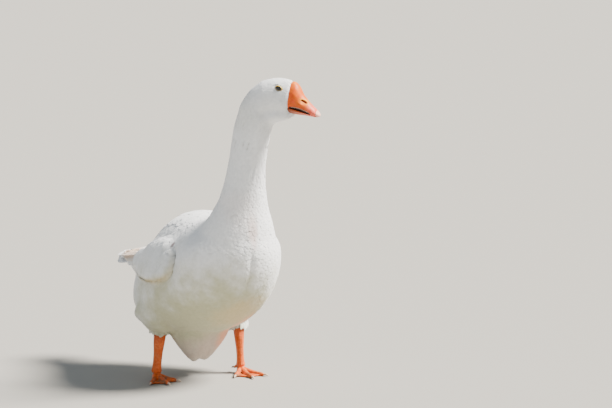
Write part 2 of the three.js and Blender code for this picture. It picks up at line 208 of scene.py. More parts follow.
class Surface:
    """A closed surface of four-sided faces that can be relaxed and measured."""

    def __init__(self, points, faces):
        self.points = points
        self.faces = faces
        here = faces.ravel()
        after = faces[:, [1, 2, 3, 0]].ravel()
        self.source = np.concatenate([here, after])
        self.target = np.concatenate([after, here])
        self.links = np.bincount(self.source, minlength=len(points))

    def mean_of_neighbours(self, values):
        total = [
            np.bincount(self.source, values[self.target, k], len(self.points))
            for k in range(values.shape[1])
        ]
        return np.stack(total, 1) / self.links[:, None]

    def relaxed(self, values, rounds, share=0.5):
        """Values smoothed over the surface; share may differ from point to point."""
        flat = values.reshape(len(values), -1)
        part = share if np.isscalar(share) else share[:, None]
        for _ in range(rounds):
            flat = flat + part * (self.mean_of_neighbours(flat) - flat)
        return flat.reshape(values.shape)

    def normals(self):
        corner = self.points[self.faces]
        across = np.cross(corner[:, 2] - corner[:, 0], corner[:, 3] - corner[:, 1])
        total = np.zeros_like(self.points)
        for k in range(4):
            for axis in range(3):
                total[:, axis] += np.bincount(self.faces[:, k], across[:, axis], len(total))
        return total / np.maximum(np.linalg.norm(total, axis=1), 1e-12)[:, None]


def tree_of(names):
    """A search tree of CAD faces, with the number in names that each face belongs to."""
    points, faces, owner = [], [], []
    for number, name in enumerate(names):
        mesh = nodes[name].data
        start = len(points)
        points.extend(vert.co.copy() for vert in mesh.vertices)
        mesh.calc_loop_triangles()
        for triangle in mesh.loop_triangles:
            faces.append([start + index for index in triangle.vertices])
            owner.append(number)
    return BVHTree.FromPolygons(points, faces, epsilon=0), owner


outline_names = (*FLESH, *BILL_NODES)
skin_mesh = joined_solids((*outline_names, "eye_left", "eye_right"), FLESH_ENDS)
skin = Surface(*evenly_faced(skin_mesh, SKIN_GRAIN))
outline_tree, outline_owner = tree_of(outline_names)

# The head's own frame, in millimetres: the bill points to -Y and the crown is up.
head_frame = (
    Matrix.Translation(stand_point + EYES_FROM_STAND)
    @ Matrix.Rotation(math.radians(37), 4, "Z")
    @ Matrix.Rotation(math.radians(15), 4, "X")
)
head_turn = np.array(head_frame.to_3x3())
head_origin = np.array(head_frame.translation)
EYE_PLACE = (20.0, -1.5, 3.0)  # of the left eye
EYE_RADIUS = 8.5
EYE_OPENING = (6.9, 4.7)  # half length and half height between the lids


def in_head(points):
    return (points - head_origin) @ head_turn * 1000


def from_head(points):
    return points / 1000 @ head_turn.T + head_origin


def eye_reach(points):
    """How far points are from an eye's middle: 1 on the opening's edge, 9 well away."""
    place = in_head(points)
    forward = (EYE_PLACE[1] - place[:, 1]) / EYE_OPENING[0]
    upward = (place[:, 2] - EYE_PLACE[2]) / EYE_OPENING[1]
    return np.where(np.abs(place[:, 0]) > 12, np.hypot(forward, upward), 9.0)


# What each point of the skin belongs to, blended softly from one part to the next.
nearest = [outline_tree.find_nearest(Vector(point)) for point in skin.points]
owners = np.array([outline_owner[found[2]] for found in nearest])


def share_of(*names, rounds=10):
    """How much each point of the skin belongs to these parts, from 0 to 1."""
    numbers = [outline_names.index(name) for name in names]
    return skin.relaxed(np.isin(owners, numbers).astype(float), rounds)


on_bill = share_of(*BILL_NODES, rounds=3)
on_head = share_of("head")
on_wing = share_of("wing_left", "wing_right", rounds=6)
on_tail = share_of("tail")
on_thigh = share_of("thigh_left", "thigh_right")

# The folded wing's outline from the side: y, z, and whether the wing stands proud of the body
# at this edge or is covered by the back's feathers. From its upper front corner, clockwise.
WING_OUTLINE = (
    (-0.043, 0.306, "covered"),
    (-0.064, 0.292, "proud"),
    (-0.078, 0.276, "proud"),
    (-0.084, 0.258, "proud"),
    (-0.08, 0.243, "proud"),
    (-0.066, 0.229, "proud"),
    (-0.041, 0.221, "proud"),
    (-0.01, 0.2165, "proud"),
    (0.04, 0.2145, "proud"),
    (0.11, 0.217, "proud"),
    (0.17, 0.224, "proud"),
    (0.225, 0.236, "covered"),
    (0.2, 0.258, "covered"),
    (0.15, 0.271, "covered"),
    (0.1, 0.28, "covered"),
    (0.03, 0.29, "covered"),
    (-0.015, 0.3, "covered"),
)


def wing_gap(places):
    """How far places are outside the wing's outline (less than 0 inside), and if it is proud."""
    flat = (places - np.array(stand_point))[:, 1:]
    corners = np.array([corner[:2] for corner in WING_OUTLINE])
    after = np.roll(corners, -1, axis=0)
    best = np.full(len(flat), 9.0)
    proud = np.zeros(len(flat), bool)
    inside = np.zeros(len(flat), bool)
    for (a, b), mark in zip(zip(corners, after), [corner[2] for corner in WING_OUTLINE]):
        edge = b - a
        t = np.clip(((flat - a) @ edge) / (edge @ edge), 0, 1)
        away = np.linalg.norm(flat - a - t[:, None] * edge, axis=1)
        closer = away < best
        best = np.where(closer, away, best)
        proud = np.where(closer, mark == "proud", proud)
        crosses = (a[1] > flat[:, 1]) != (b[1] > flat[:, 1])
        rise = edge[1] if abs(edge[1]) > 1e-9 else 1e-9
        inside ^= crosses & (flat[:, 0] < a[0] + (flat[:, 1] - a[1]) / rise * edge[0])
    return np.where(inside, -best, best), proud


solid_tree = BVHTree.FromPolygons(skin.points.tolist(), skin.faces.tolist())
wing_rim = np.exp(-(((on_wing - 0.5) / 0.35) ** 2)) * np.interp(on_wing, [0.02, 0.2], [0, 1])
gap, proud_edge = wing_gap(skin.points)
x, y, z = (skin.points - np.array(stand_point)).T
wing_top = skin.relaxed(np.exp(-((gap / 0.036) ** 2)) * ~proud_edge * (np.abs(x) > 0.05), 12)
under_body = np.exp(-(((z - 0.108) / 0.026) ** 2)) * (np.abs(x) < 0.085)
under_body = skin.relaxed(under_body * (1 - on_thigh), 6)
hip = skin.relaxed(np.exp(-(((z - 0.155) / 0.03) ** 2)) * (np.abs(x) > 0.06) * (y > -0.1), 8)
steadiness = 0.5 * (1 - 0.55 * on_head) * (1 - 0.75 * wing_rim * (1 - wing_top))
skin.points = skin.relaxed(skin.points, 44, steadiness)
smoothest = np.clip(wing_top + 0.9 * under_body + 0.7 * hip, 0, 1)
skin.points = skin.relaxed(skin.points, 190, 0.5 * smoothest)

# Depth of the coat over the skin in mm: by height over the floor, and then on single parts. It is
# least on the face and most under the belly.
COAT_BY_HEIGHT = ((0.06, 6.5), (0.2, 6.0), (0.34, 5.6), (0.42, 4.2), (0.56, 3.0), (0.6, 2.4))
coat_depth = np.interp(skin.points[:, 2], *zip(*COAT_BY_HEIGHT))
for share, depth in ((on_head, 1.7), (on_wing, 4.0), (on_tail, 4.0), (on_thigh, 3.6)):
    coat_depth = coat_depth * (1 - share) + depth * share
by_bill = skin.relaxed(on_bill, 8)
under_bill = skin.relaxed(np.clip(on_bill * 3 - 2, 0, 1), 2)
coat_depth = coat_depth * (1 - by_bill) + 0.7 * by_bill + 1.6 * on_bill + 6.0 * under_bill**2
coat_depth *= 0.001

outward = skin.normals()
lies_in = np.empty(len(skin.points))
for index, point in enumerate(skin.points):
    place, normal, _, _ = solid_tree.find_nearest(Vector(point))
    lies_in[index] = (place - Vector(point)).dot(normal)
sink = skin.relaxed(coat_depth - lies_in, 24)
skin.points = skin.points - outward * np.clip(sink, -0.004, 0.009)[:, None]
skin.points = skin.relaxed(skin.points, 3)
outward = skin.normals()

# Folds: the cleft between the breast's two sides, the edge that the folded wing lifts from the
# flank, and the faint furrows down the neck.
CLEFT_DEPTH = 0.0035
WING_EDGE_DEPTH = 0.009
WING_SWELL = 0.002
FURROW_DEPTH = 0.0014
x, y, z = (skin.points - np.array(stand_point)).T
cleft = np.exp(-((x + 0.012 + (z - 0.25) * 0.1) ** 2) / 0.006**2)
cleft *= np.interp(z, [0.19, 0.225, 0.275, 0.3], [0, 1, 1, 0]) * (y < -0.17)
gap, proud_edge = wing_gap(skin.points)
sideways = np.clip(np.abs(x) / 0.06, 0, 1) ** 4 * np.clip(np.abs(outward[:, 0]) * 2.5, 0, 1)
sideways *= np.interp(y, [0.0, 0.07, 0.2], [1, 0.45, 0.25])
wing_edge = np.where(gap > 0, np.exp(-gap / 0.013), np.exp(gap / 0.0018)) * proud_edge * sideways
wing_swell = np.exp(-(((gap + 0.012) / 0.01) ** 2)) * (gap < 0) * proud_edge * sideways


def furrow_depth(points):
    """The wavering furrows down the upper neck, from 0 on a ridge to 1 in a groove."""
    x, y, z = (points - np.array(stand_point)).T
    up_neck = np.interp(z, [0.4, 0.47, 0.57, 0.6], [0, 1, 1, 0])
    round_neck = np.sqrt(np.arctan2(x - 0.006, -(y + 0.185)) ** 2 + 0.06)
    patchy = 0.55 + 0.45 * np.sin(round_neck * 3.1 + z * 47) * np.sin(z * 83 - round_neck * 4.3)
    waves = np.sin(round_neck * 25 + z * 205 + 1.3 * np.sin(z * 61 + round_neck * 2))
    return up_neck * patchy * (0.5 + 0.5 * waves)


sunk = CLEFT_DEPTH * cleft + WING_EDGE_DEPTH * wing_edge - WING_SWELL * wing_swell
sunk += FURROW_DEPTH * furrow_depth(skin.points)
skin.points = skin.points - outward * sunk[:, None]

# The sockets: inside the lids the skin passes behind the balls of the eyes.
SOCKET_GAP = 1.6  # how far below the ball's surface, in mm
reach = eye_reach(skin.points)
place = in_head(skin.points)
from_eye = place - EYE_PLACE * np.stack([np.sign(place[:, 0]), 0 * reach + 1, 0 * reach + 1], 1)
away = np.linalg.norm(from_eye, axis=1)
in_socket = np.interp(reach, [1.0, 1.5], [1, 0])
behind = away + (np.minimum(away, EYE_RADIUS - SOCKET_GAP) - away) * in_socket
place += from_eye * (behind / away - 1)[:, None]
skin.points = from_head(place)
outward = skin.normals()


def object_of(name, points, faces, smooth=True):
    """A mesh object of these points and faces."""
    mesh = bpy.data.meshes.new(name)
    mesh.from_pydata(points.tolist(), [], faces.tolist())
    mesh.polygons.foreach_set("use_smooth", [smooth] * len(mesh.polygons))
    mesh.update()
    made = bpy.data.objects.new(name, mesh)
    bpy.context.collection.objects.link(made)
    return made


def paint_mask(thing, name, values):
    """A mask from 0 to 1 on the points of a piece, for its material to read."""
    layer = thing.data.attributes.new(name, "FLOAT", "POINT")
    layer.data.foreach_set("value", np.clip(values, 0, 1).astype(np.float32))


def wing_rim_yellow_and_shade(points):
    """The rim along the free edge of the folded wing, from 0 to 1: partly yellowed feathers, partly
    painted shade on the wing's lower edge.
    """
    gap, proud = wing_gap(points)
    rim = np.exp(-(((gap + 0.002) / 0.0055) ** 2)) * proud
    low = np.interp(points[:, 2], [0.225, 0.262, 0.29], [1, 0.45, 0.15])
    low *= np.interp(points[:, 1] - stand_point.y, [0.02, 0.07], [1, 0.3])
    return rim * low * (np.abs(points[:, 0] - stand_point.x) > 0.06)


# Two patches of painted shade in the neck's furrows.
FURROW_SHADE_PATCHES = ((-0.2, 0.53, 0.02, 0.026), (-0.232, 0.53, 0.012, 0.02))  # y, z and half sizes


def furrow_shade_mark(points):
    """Painted shade in the deepest furrows, in two patches on the sides of the upper neck."""
    _, y, z = (points - np.array(stand_point)).T
    patches = 0.0
    for spot_y, spot_z, half_y, half_z in FURROW_SHADE_PATCHES:
        patches = patches + np.exp(-(((y - spot_y) / half_y) ** 2) - ((z - spot_z) / half_z) ** 2)
    ragged = 0.6 + 0.4 * np.sin(z * 610 + y * 190)
    return np.clip((furrow_depth(points) - 0.62) * 4, 0, 1) * np.clip(patches, 0, 1) * ragged


skin_piece = object_of("skin", skin.points, skin.faces)
paint_mask(skin_piece, "FurrowShade", furrow_shade_mark(skin.points))
paint_mask(skin_piece, "WingRim", wing_rim_yellow_and_shade(skin.points))
# Painted shade on the skin inside the mouth, under the bill.
paint_mask(skin_piece, "MouthShade", under_bill * 1.5)
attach(skin_piece, "root")
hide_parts(*FLESH)

# --- Colour of the plumage ----------------------------------------------------------------
# Bleached white feathers, creamy under the belly and yellowish on the wing's edges, with the
# earth and grass stains that a farmyard bird picks up. The olive cream under the belly is partly
# painted shade with a greenish reflected tint, the orange beside the left leg is partly a painted
# reflection of the leg, and the yellow on the wing's lower edge is partly painted shade. A painted
# shadow marks the gap at the wing's bend, and painted shade lies in the neck's furrows and inside
# the mouth. Skin and feathers share the same marks.
CLEAN_WHITE = (0.86, 0.865, 0.87)
STAINS_AND_SHADE = (
    # centre from the stand point, half sizes, colour and strength
    ((-0.04, -0.1, 0.13), (0.23, 0.29, 0.185), (0.44, 0.43, 0.255), 0.94),  # belly: partly painted shade with a greenish reflected tint, partly dirt
    ((0.01, -0.15, 0.155), (0.085, 0.12, 0.055), (0.62, 0.48, 0.25), 0.7),  # its warm middle: partly painted shade, partly dirt
    # Orange beside the left leg: partly painted reflection of the orange leg, partly stain.
    ((0.05, -0.11, 0.12), (0.05, 0.08, 0.035), (0.84, 0.44, 0.25), 0.75),
    ((0.0, -0.02, 0.06), (0.08, 0.09, 0.06), (0.56, 0.45, 0.38), 0.85),  # paunch
    ((0.035, -0.05, 0.085), (0.03, 0.06, 0.05), (0.84, 0.36, 0.2), 0.75),  # its orange side: partly painted reflection of the left leg, partly stain
    ((-0.012, -0.225, 0.34), (0.016, 0.06, 0.05), (0.62, 0.44, 0.38), 0.6),  # breast
    ((-0.03, -0.2, 0.38), (0.05, 0.08, 0.06), (0.84, 0.78, 0.76), 0.5),
    ((-0.04, 0.21, 0.245), (0.05, 0.07, 0.022), (0.72, 0.5, 0.33), 0.95),  # tail
    ((-0.11, -0.056, 0.3), (0.02, 0.0065, 0.009), (0.2, 0.13, 0.13), 0.85),  # painted shadow in the gap at the wing's bend
    ((0.0, -0.2, 0.58), (0.06, 0.05, 0.06), (0.84, 0.82, 0.72), 0.35),  # throat
)
# Yellow-olive of the wing's lower rim: partly yellowing, partly painted shade.
RIM_YELLOW_AND_SHADE = (0.47, 0.36, 0.125)
# Grey painted shade for the neck's furrows.
FURROW_SHADE = (0.3, 0.3, 0.27)
# Near black: painted shade inside the mouth.
MOUTH_SHADE = (0.035, 0.012, 0.01)


def new_group(name, inputs, outputs):
    """An empty shader node group with these sockets, each a name and its type."""
    group = bpy.data.node_groups.new(name, "ShaderNodeTree")
    for label, kind in inputs:
        group.interface.new_socket(label, in_out="INPUT", socket_type=kind)
    for label, kind in outputs:
        group.interface.new_socket(label, in_out="OUTPUT", socket_type=kind)
    return group, group.nodes.new("NodeGroupInput"), group.nodes.new("NodeGroupOutput")


def add_node(tree, kind, settings=None, **values):
    """A node with its settings, and with its inputs set to values or linked to sockets."""
    node = tree.nodes.new(kind)
    for key, value in (settings or {}).items():
        setattr(node, key, value)
    for key, value in values.items():
        numbered = key[0] == "i" and key[1:].isdigit()
        socket = node.inputs[int(key[1:]) if numbered else key]
        if isinstance(value, bpy.types.NodeSocket):
            tree.links.new(value, socket)
        else:
            socket.default_value = value
    return node


def worked(tree, operation, *values, kind="ShaderNodeMath"):
    """What a math node makes of these values or sockets."""
    given = {f"i{number}": value for number, value in enumerate(values)}
    return add_node(tree, kind, {"operation": operation}, **given).outputs[0]


def spread(tree, value, low, high, first, last, kind="LINEAR"):
    """A value taken over from the range low to high to the range first to last."""
    settings = {"interpolation_type": kind}
    return add_node(
        tree, "ShaderNodeMapRange", settings, i0=value, i1=low, i2=high, i3=first, i4=last
    ).outputs[0]


def mask_of(tree, name):
    return add_node(tree, "ShaderNodeAttribute", {"attribute_name": name}).outputs["Fac"]


def mixed_in(tree, base, tint, factor):
    node = add_node(tree, "ShaderNodeMix", {"data_type": "RGBA"}, i0=factor, i6=base, i7=(*tint, 1))
    return node.outputs[2]


def cloud(tree, size, detail, roughness=0.5):
    """Noise in the object's own space, with this many features to the metre."""
    place = add_node(tree, "ShaderNodeTexCoord").outputs["Object"]
    return add_node(
        tree, "ShaderNodeTexNoise", i0=place, Scale=size, Detail=detail, Roughness=roughness
    ).outputs["Fac"]


plumage_group, plumage_in, plumage_out = new_group(
    "plumage_colour", [("Brightness", "NodeSocketFloat")], [("Colour", "NodeSocketColor")]
)
place_out = add_node(plumage_group, "ShaderNodeTexCoord").outputs["Object"]
blotches = cloud(plumage_group, 26.0, 3.0, 0.6)
ragged = worked(plumage_group, "MULTIPLY_ADD", blotches, 0.7, -0.35)
stained_and_shaded = (*CLEAN_WHITE, 1)
# Stains, and painted shade, reflection and shadow, each fading out from its middle.
for centre, half_sizes, tint, strength in STAINS_AND_SHADE:
    spot = Vector(centre) + stand_point
    away = worked(plumage_group, "SUBTRACT", place_out, spot, kind="ShaderNodeVectorMath")
    scaled = worked(plumage_group, "DIVIDE", away, half_sizes, kind="ShaderNodeVectorMath")
    reach = add_node(plumage_group, "ShaderNodeVectorMath", {"operation": "LENGTH"}, i0=scaled)
    edge = worked(plumage_group, "ADD", reach.outputs["Value"], ragged)
    mask = spread(plumage_group, edge, 0.25, 1.1, strength, 0.0, "SMOOTHERSTEP")
    stained_and_shaded = mixed_in(plumage_group, stained_and_shaded, tint, mask)
# The wing's lower rim: partly yellowing, partly painted shade.
rim_patchy = spread(plumage_group, blotches, 0.3, 0.65, 0.45, 1.0)
rim_mask = worked(plumage_group, "MULTIPLY", mask_of(plumage_group, "WingRim"), rim_patchy)
stained_and_shaded = mixed_in(plumage_group, stained_and_shaded, RIM_YELLOW_AND_SHADE, rim_mask)
# Painted shade in the neck's furrows.
stained_and_shaded = mixed_in(plumage_group, stained_and_shaded, FURROW_SHADE, mask_of(plumage_group, "FurrowShade"))
# Painted shade inside the mouth.
stained_and_shaded = mixed_in(plumage_group, stained_and_shaded, MOUTH_SHADE, mask_of(plumage_group, "MouthShade"))
shade = spread(plumage_group, cloud(plumage_group, 150.0, 2.0), 0.3, 0.7, 0.93, 1.03)
lit = worked(plumage_group, "MULTIPLY", shade, plumage_in.outputs["Brightness"])
toned = add_node(
    plumage_group, "ShaderNodeVectorMath", {"operation": "SCALE"}, i0=stained_and_shaded, Scale=lit
)
plumage_group.links.new(toned.outputs[0], plumage_out.inputs["Colour"])

BARB_SPACING = 0.0008
BARB_SLANT = -0.9  # how far the barbs run back towards the root, per length across


def plumage_material(name, brightness, barbs):
    """White feather: matt, with fine barbs across each vane on its own UV map."""
    paint, tree, shader = new_paint(name)
    shader.inputs["Roughness"].default_value = 0.75
    shader.inputs["Specular IOR Level"].default_value = 0.25
    shader.inputs["Sheen Weight"].default_value = 0.25
    shader.inputs["Sheen Roughness"].default_value = 0.5
    colours = tree.nodes.new("ShaderNodeGroup")
    colours.node_tree = plumage_group
    colours.inputs["Brightness"].default_value = brightness
    tree.links.new(colours.outputs["Colour"], shader.inputs["Base Color"])
    if barbs:
        vane = add_node(tree, "ShaderNodeUVMap", {"uv_map": "Vane"})
        parts = add_node(tree, "ShaderNodeSeparateXYZ", i0=vane.outputs["UV"])
        off_shaft = worked(tree, "ABSOLUTE", parts.outputs["X"])
        slanted = worked(tree, "MULTIPLY_ADD", off_shaft, BARB_SLANT, parts.outputs["Y"])
        turns = worked(tree, "MULTIPLY", slanted, math.tau / BARB_SPACING)
        ridges = worked(tree, "SINE", turns)
        bump = add_node(tree, "ShaderNodeBump", Strength=0.16, Distance=0.0002, Height=ridges)
        tree.links.new(bump.outputs["Normal"], shader.inputs["Normal"])
    return paint


skin_paint = plumage_material("skin_down", 0.94, barbs=False)
skin_piece.data.materials.append(skin_paint)

# --- Lie of the feathers --------------------------------------------------------------------
# Feathers lie from the bill back over the head, down the neck and back along the body to the
# tail, and down the thighs. The same run gives every point of the skin its place on a flat
# unwrap: how far along the body, and how far round it.
BODY_RUN = (
    (0.0617, -0.263, 0.624),
    (0.0339, -0.226, 0.626),
    (0.011, -0.195, 0.572),
    (0.006, -0.188, 0.525),
    (0.002, -0.178, 0.46),
    (0.0, -0.167, 0.39),
    (0.0, -0.148, 0.32),
    (0.0, -0.09, 0.24),
    (0.0, 0.0, 0.215),
    (0.0, 0.12, 0.215),
    (0.0, 0.2, 0.23),
    (0.0, 0.3, 0.24),
)


def unit(vectors):
    return vectors / np.maximum(np.linalg.norm(vectors, axis=-1, keepdims=True), 1e-12)


bends = np.array(BODY_RUN) + np.array(stand_point)
steps = np.linalg.norm(np.diff(bends, axis=0), axis=1)
bend_at = np.concatenate([[0], np.cumsum(steps)])
run_length = bend_at[-1]
run_at = np.linspace(0, run_length, 140)
run_points = np.stack([np.interp(run_at, bend_at, bends[:, axis]) for axis in range(3)], 1)
run_lead = unit(np.gradient(run_points, axis=0))

lie = np.empty_like(skin.points)
along = np.empty(len(skin.points))
middle = np.empty_like(skin.points)
for start in range(0, len(skin.points), 8000):
    some = slice(start, start + 8000)
    gap = skin.points[some, None] - run_points[None]
    pull = 1 / ((gap**2).sum(2) + 0.012**2) ** 3
    pull /= pull.sum(1)[:, None]
    lie[some] = pull @ run_lead
    along[some] = pull @ run_at
    middle[some] = pull @ run_points
lie = unit(lie)
over = unit(np.array([0.0, 1.0, 1.0]) - lie * (lie @ np.array([0.0, 1.0, 1.0]))[:, None])
beside = np.cross(lie, over)
from_run = skin.points - middle
round_body = np.arctan2((from_run * beside).sum(1), (from_run * over).sum(1))
unwrapped = np.stack([round_body / math.tau + 0.5, along / run_length], 1)

x, y, z = (skin.points - np.array(stand_point)).T
down = np.array([0.0, 0.0, -1.0])
droop = on_thigh * np.interp(z, [0.11, 0.17], [2.2, 0.0])
gap, proud_edge = wing_gap(skin.points)
in_wing = np.clip(0.5 - gap / 0.004, 0, 1) * (np.abs(x) > 0.05) * (np.abs(outward[:, 0]) > 0.2)
wing_droop = in_wing * np.interp(y, [-0.08, 0.02], [0.35, 0.05])
lie = lie + (droop + wing_droop)[:, None] * down
lie = unit(lie - outward * (lie * outward).sum(1)[:, None])
lie = skin.relaxed(lie, 12)
lie = unit(lie - outward * (lie * outward).sum(1)[:, None])

# --- Plumage ----------------------------------------------------------------------------------
# Small feathers in overlapping rows. Each is a thin closed vane, rooted in the skin, which
# bends with the body and rises to the depth of the coat at its tip. They are a few millimetres
# long on the face, narrow on the neck, and broad on the back and wings.


def smooth_step(values, low, high):
    t = np.clip((values - low) / (high - low), 0, 1)
    return t * t * (3 - 2 * t)


def blend_in(base, value, share):
    return base * (1 - share) + value * share


bill_near = skin.relaxed((on_bill > 0.02).astype(float), 90)
face = np.clip(bill_near * 2.2, 0, 1) * on_head
low_neck = smooth_step(z, 0.43, 0.33)
belly = smooth_step(z, 0.2, 0.14) * (1 - on_thigh)
upper = smooth_step(z, 0.2, 0.27) * smooth_step(y, -0.16, -0.04)
hem = on_thigh * smooth_step(z, 0.13, 0.105)
wing_reach = smooth_step(y, -0.09, 0.14)

# apart: distance between roots; long, wide: size of a vane (wide is half its width)
apart = np.full(len(skin.points), 3.9)
long = np.full(len(skin.points), 27.0)
wide = np.full(len(skin.points), 7.2)
for share, apart_here, long_here, wide_here in (
    (low_neck * smooth_step(y, -0.1, -0.16), 3.5, 24, 5.6),
    (upper, 5.6, 40, 10.5),
    (belly, 3.7, 27, 5.0),
    (smooth_step(z, 0.33, 0.43), 2.3, 17, 2.9),
    (on_tail, 6.5, 46, 9.0),
    (in_wing, 3.8 + 3.6 * wing_reach, 18 + 30 * wing_reach, 5.4 + 6.0 * wing_reach),
    (on_thigh, 3.1, 18, 3.2),
    (hem, 2.1, 12, 1.7),
    (smooth_step(z, 0.55, 0.585), 1.9, 12, 1.9),
    (on_head, 1.5, 8.5, 1.4),
    (face, 1.15, 4.4, 0.9),
):
    apart = blend_in(apart, apart_here, share)
    long = blend_in(long, long_here, share)
    wide = blend_in(wide, wide_here, share)
apart, long, wide = apart * 0.001, long * 0.001, wide * 0.001

bare = np.clip(on_bill * 5 - 2, 0, 1)  # no feathers on the bill
bare = np.maximum(bare, (eye_reach(skin.points) < 1.3).astype(float))  # nor on the eyelids
for side in ("left", "right"):
    low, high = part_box(f"shank_{side}")
    shank_top = np.array(((low.x + high.x) / 2, (low.y + high.y) / 2, high.z))
    under_hem = (np.linalg.norm(skin.points - shank_top, axis=1) < 0.02) & (outward[:, 2] < -0.7)
    bare = np.maximum(bare, under_hem)

chance = np.random.default_rng(7)
corner_places = skin.points[skin.faces]
first_edge, diagonal, last_edge = (corner_places[:, k] - corner_places[:, 0] for k in (1, 2, 3))
halves = np.cross(first_edge, diagonal), np.cross(diagonal, last_edge)
face_area = (np.linalg.norm(halves[0], axis=1) + np.linalg.norm(halves[1], axis=1)) / 2
want = face_area / apart[skin.faces].mean(1) ** 2 * (1 - bare[skin.faces].max(1))
TRIES_PER_PLACE = 5
tries = int(want.sum() * TRIES_PER_PLACE)
picked = chance.choice(len(skin.faces), tries, p=want / want.sum())
u, v = chance.random((2, tries))
corner_share = np.stack([(1 - u) * (1 - v), u * (1 - v), u * v, (1 - u) * v], 1)


def at_tries(values):
    """Values of the skin's points, taken to the tried places on its faces."""
    share = corner_share if values.ndim == 1 else corner_share[:, :, None]
    return (values[skin.faces[picked]] * share).sum(1)


def tree_over(places):
    """A search tree of numbered places."""
    tree = KDTree(len(places))
    for number, place in enumerate(places.tolist()):
        tree.insert(place, number)
    tree.balance()
    return tree


def well_apart(places, spacing, order):
    """Numbers of the places, taken in this order, that keep their spacing from one another."""
    near = tree_over(places)
    free = np.ones(len(places), bool)
    kept = []
    for index in order:
        if free[index]:
            kept.append(index)
            for _, other, _ in near.find_range(places[index], spacing[index]):
                free[other] = False
    return np.array(kept)


tried = at_tries(skin.points)
rooted = well_apart(tried, at_tries(apart), range(tries))

# Where each feather starts, which way it lies, and its sizes.
root = tried[rooted]
root_x, root_y, root_z = (root - np.array(stand_point)).T
root_up = unit(at_tries(outward)[rooted])
root_lead = at_tries(lie)[rooted]
twist = chance.normal(0, 0.1, len(rooted))
root_side = np.cross(root_lead, root_up)
root_lead = unit(root_lead * np.cos(twist)[:, None] + root_side * np.sin(twist)[:, None])
seam_safe = [at_tries(wave(unwrapped[:, 0] * math.tau)) for wave in (np.cos, np.sin)]
root_flat = np.stack(
    [
        np.arctan2(seam_safe[1], seam_safe[0]) / math.tau % 1,
        at_tries(unwrapped[:, 1]),
    ],
    1,
)[rooted]
vane_long = at_tries(long)[rooted] * chance.uniform(0.86, 1.14, len(rooted))
vane_wide = at_tries(wide)[rooted] * chance.uniform(0.88, 1.12, len(rooted))
vane_rise = at_tries(coat_depth)[rooted] * chance.uniform(0.9, 1.0, len(rooted))

# The flank's feathers end where the wing's edge covers them; the back's lie over its top.
root_gap, root_proud = wing_gap(root)
beside_wing = (root_gap > 0) & (np.abs(root[:, 0] - stand_point.x) > 0.05)
free_run = np.ones(len(root))
for reach in np.linspace(1.0, 0.1, 10):
    gap_there, _ = wing_gap(root + root_lead * (vane_long * reach)[:, None])
    free_run = np.where(beside_wing & root_proud & (gap_there < 0.001), reach - 0.1, free_run)
    over_eye = eye_reach(root + root_lead * (vane_long * reach)[:, None]) < 1.13
    free_run = np.where(over_eye, np.minimum(free_run, reach - 0.1), free_run)
vane_long = vane_long * np.clip(free_run, 0.3, 1)
vane_wide = vane_wide * np.clip(free_run + 0.2, 0.45, 1)
vane_rise = vane_rise * np.clip(free_run + 0.1, 0.4, 1)
by_rim = np.where(beside_wing & root_proud, np.clip(root_gap / 0.014, 0.3, 1), 1)
vane_rise = vane_rise * by_rim
over_wing = beside_wing & ~root_proud & (root_y < 0.19)
vane_rise = vane_rise * (1 - 0.6 * np.exp(-root_gap / 0.035) * over_wing)

skin_tree = BVHTree.FromPolygons(skin.points.tolist(), skin.faces.tolist())


def laid_down(start, lead, length):
    """Half way along and the end of a feather that follows the skin, each with its normal."""
    places = []
    for _ in range(2):
        found_places = np.empty_like(start)
        found_up = np.empty_like(start)
        for index, goal in enumerate((start + lead * (length / 2)[:, None]).tolist()):
            found, _, face_index, _ = skin_tree.find_nearest(goal)
            found_places[index] = found
            found_up[index] = outward[skin.faces[face_index]].mean(0)
        found_up = unit(found_up)
        places.append((found_places, found_up))
        lead = found_places - start
        lead = unit(lead - found_up * (lead * found_up).sum(1)[:, None])
        start = found_places
    return places


(mid, mid_up), (tip, tip_up) = laid_down(root, root_lead, vane_long)

small_feathers = {
    "root": root,
    "mid": mid,
    "tip": tip,
    "root_up": root_up,
    "mid_up": mid_up,
    "tip_up": tip_up,
    "long": vane_long,
    "wide": vane_wide,
    "rise": vane_rise,
    "flat": root_flat,
}
ROOT_DEPTH = 0.0003  # of a vane's root below the skin
feather_paint = plumage_material("feather", 1.0, barbs=True)


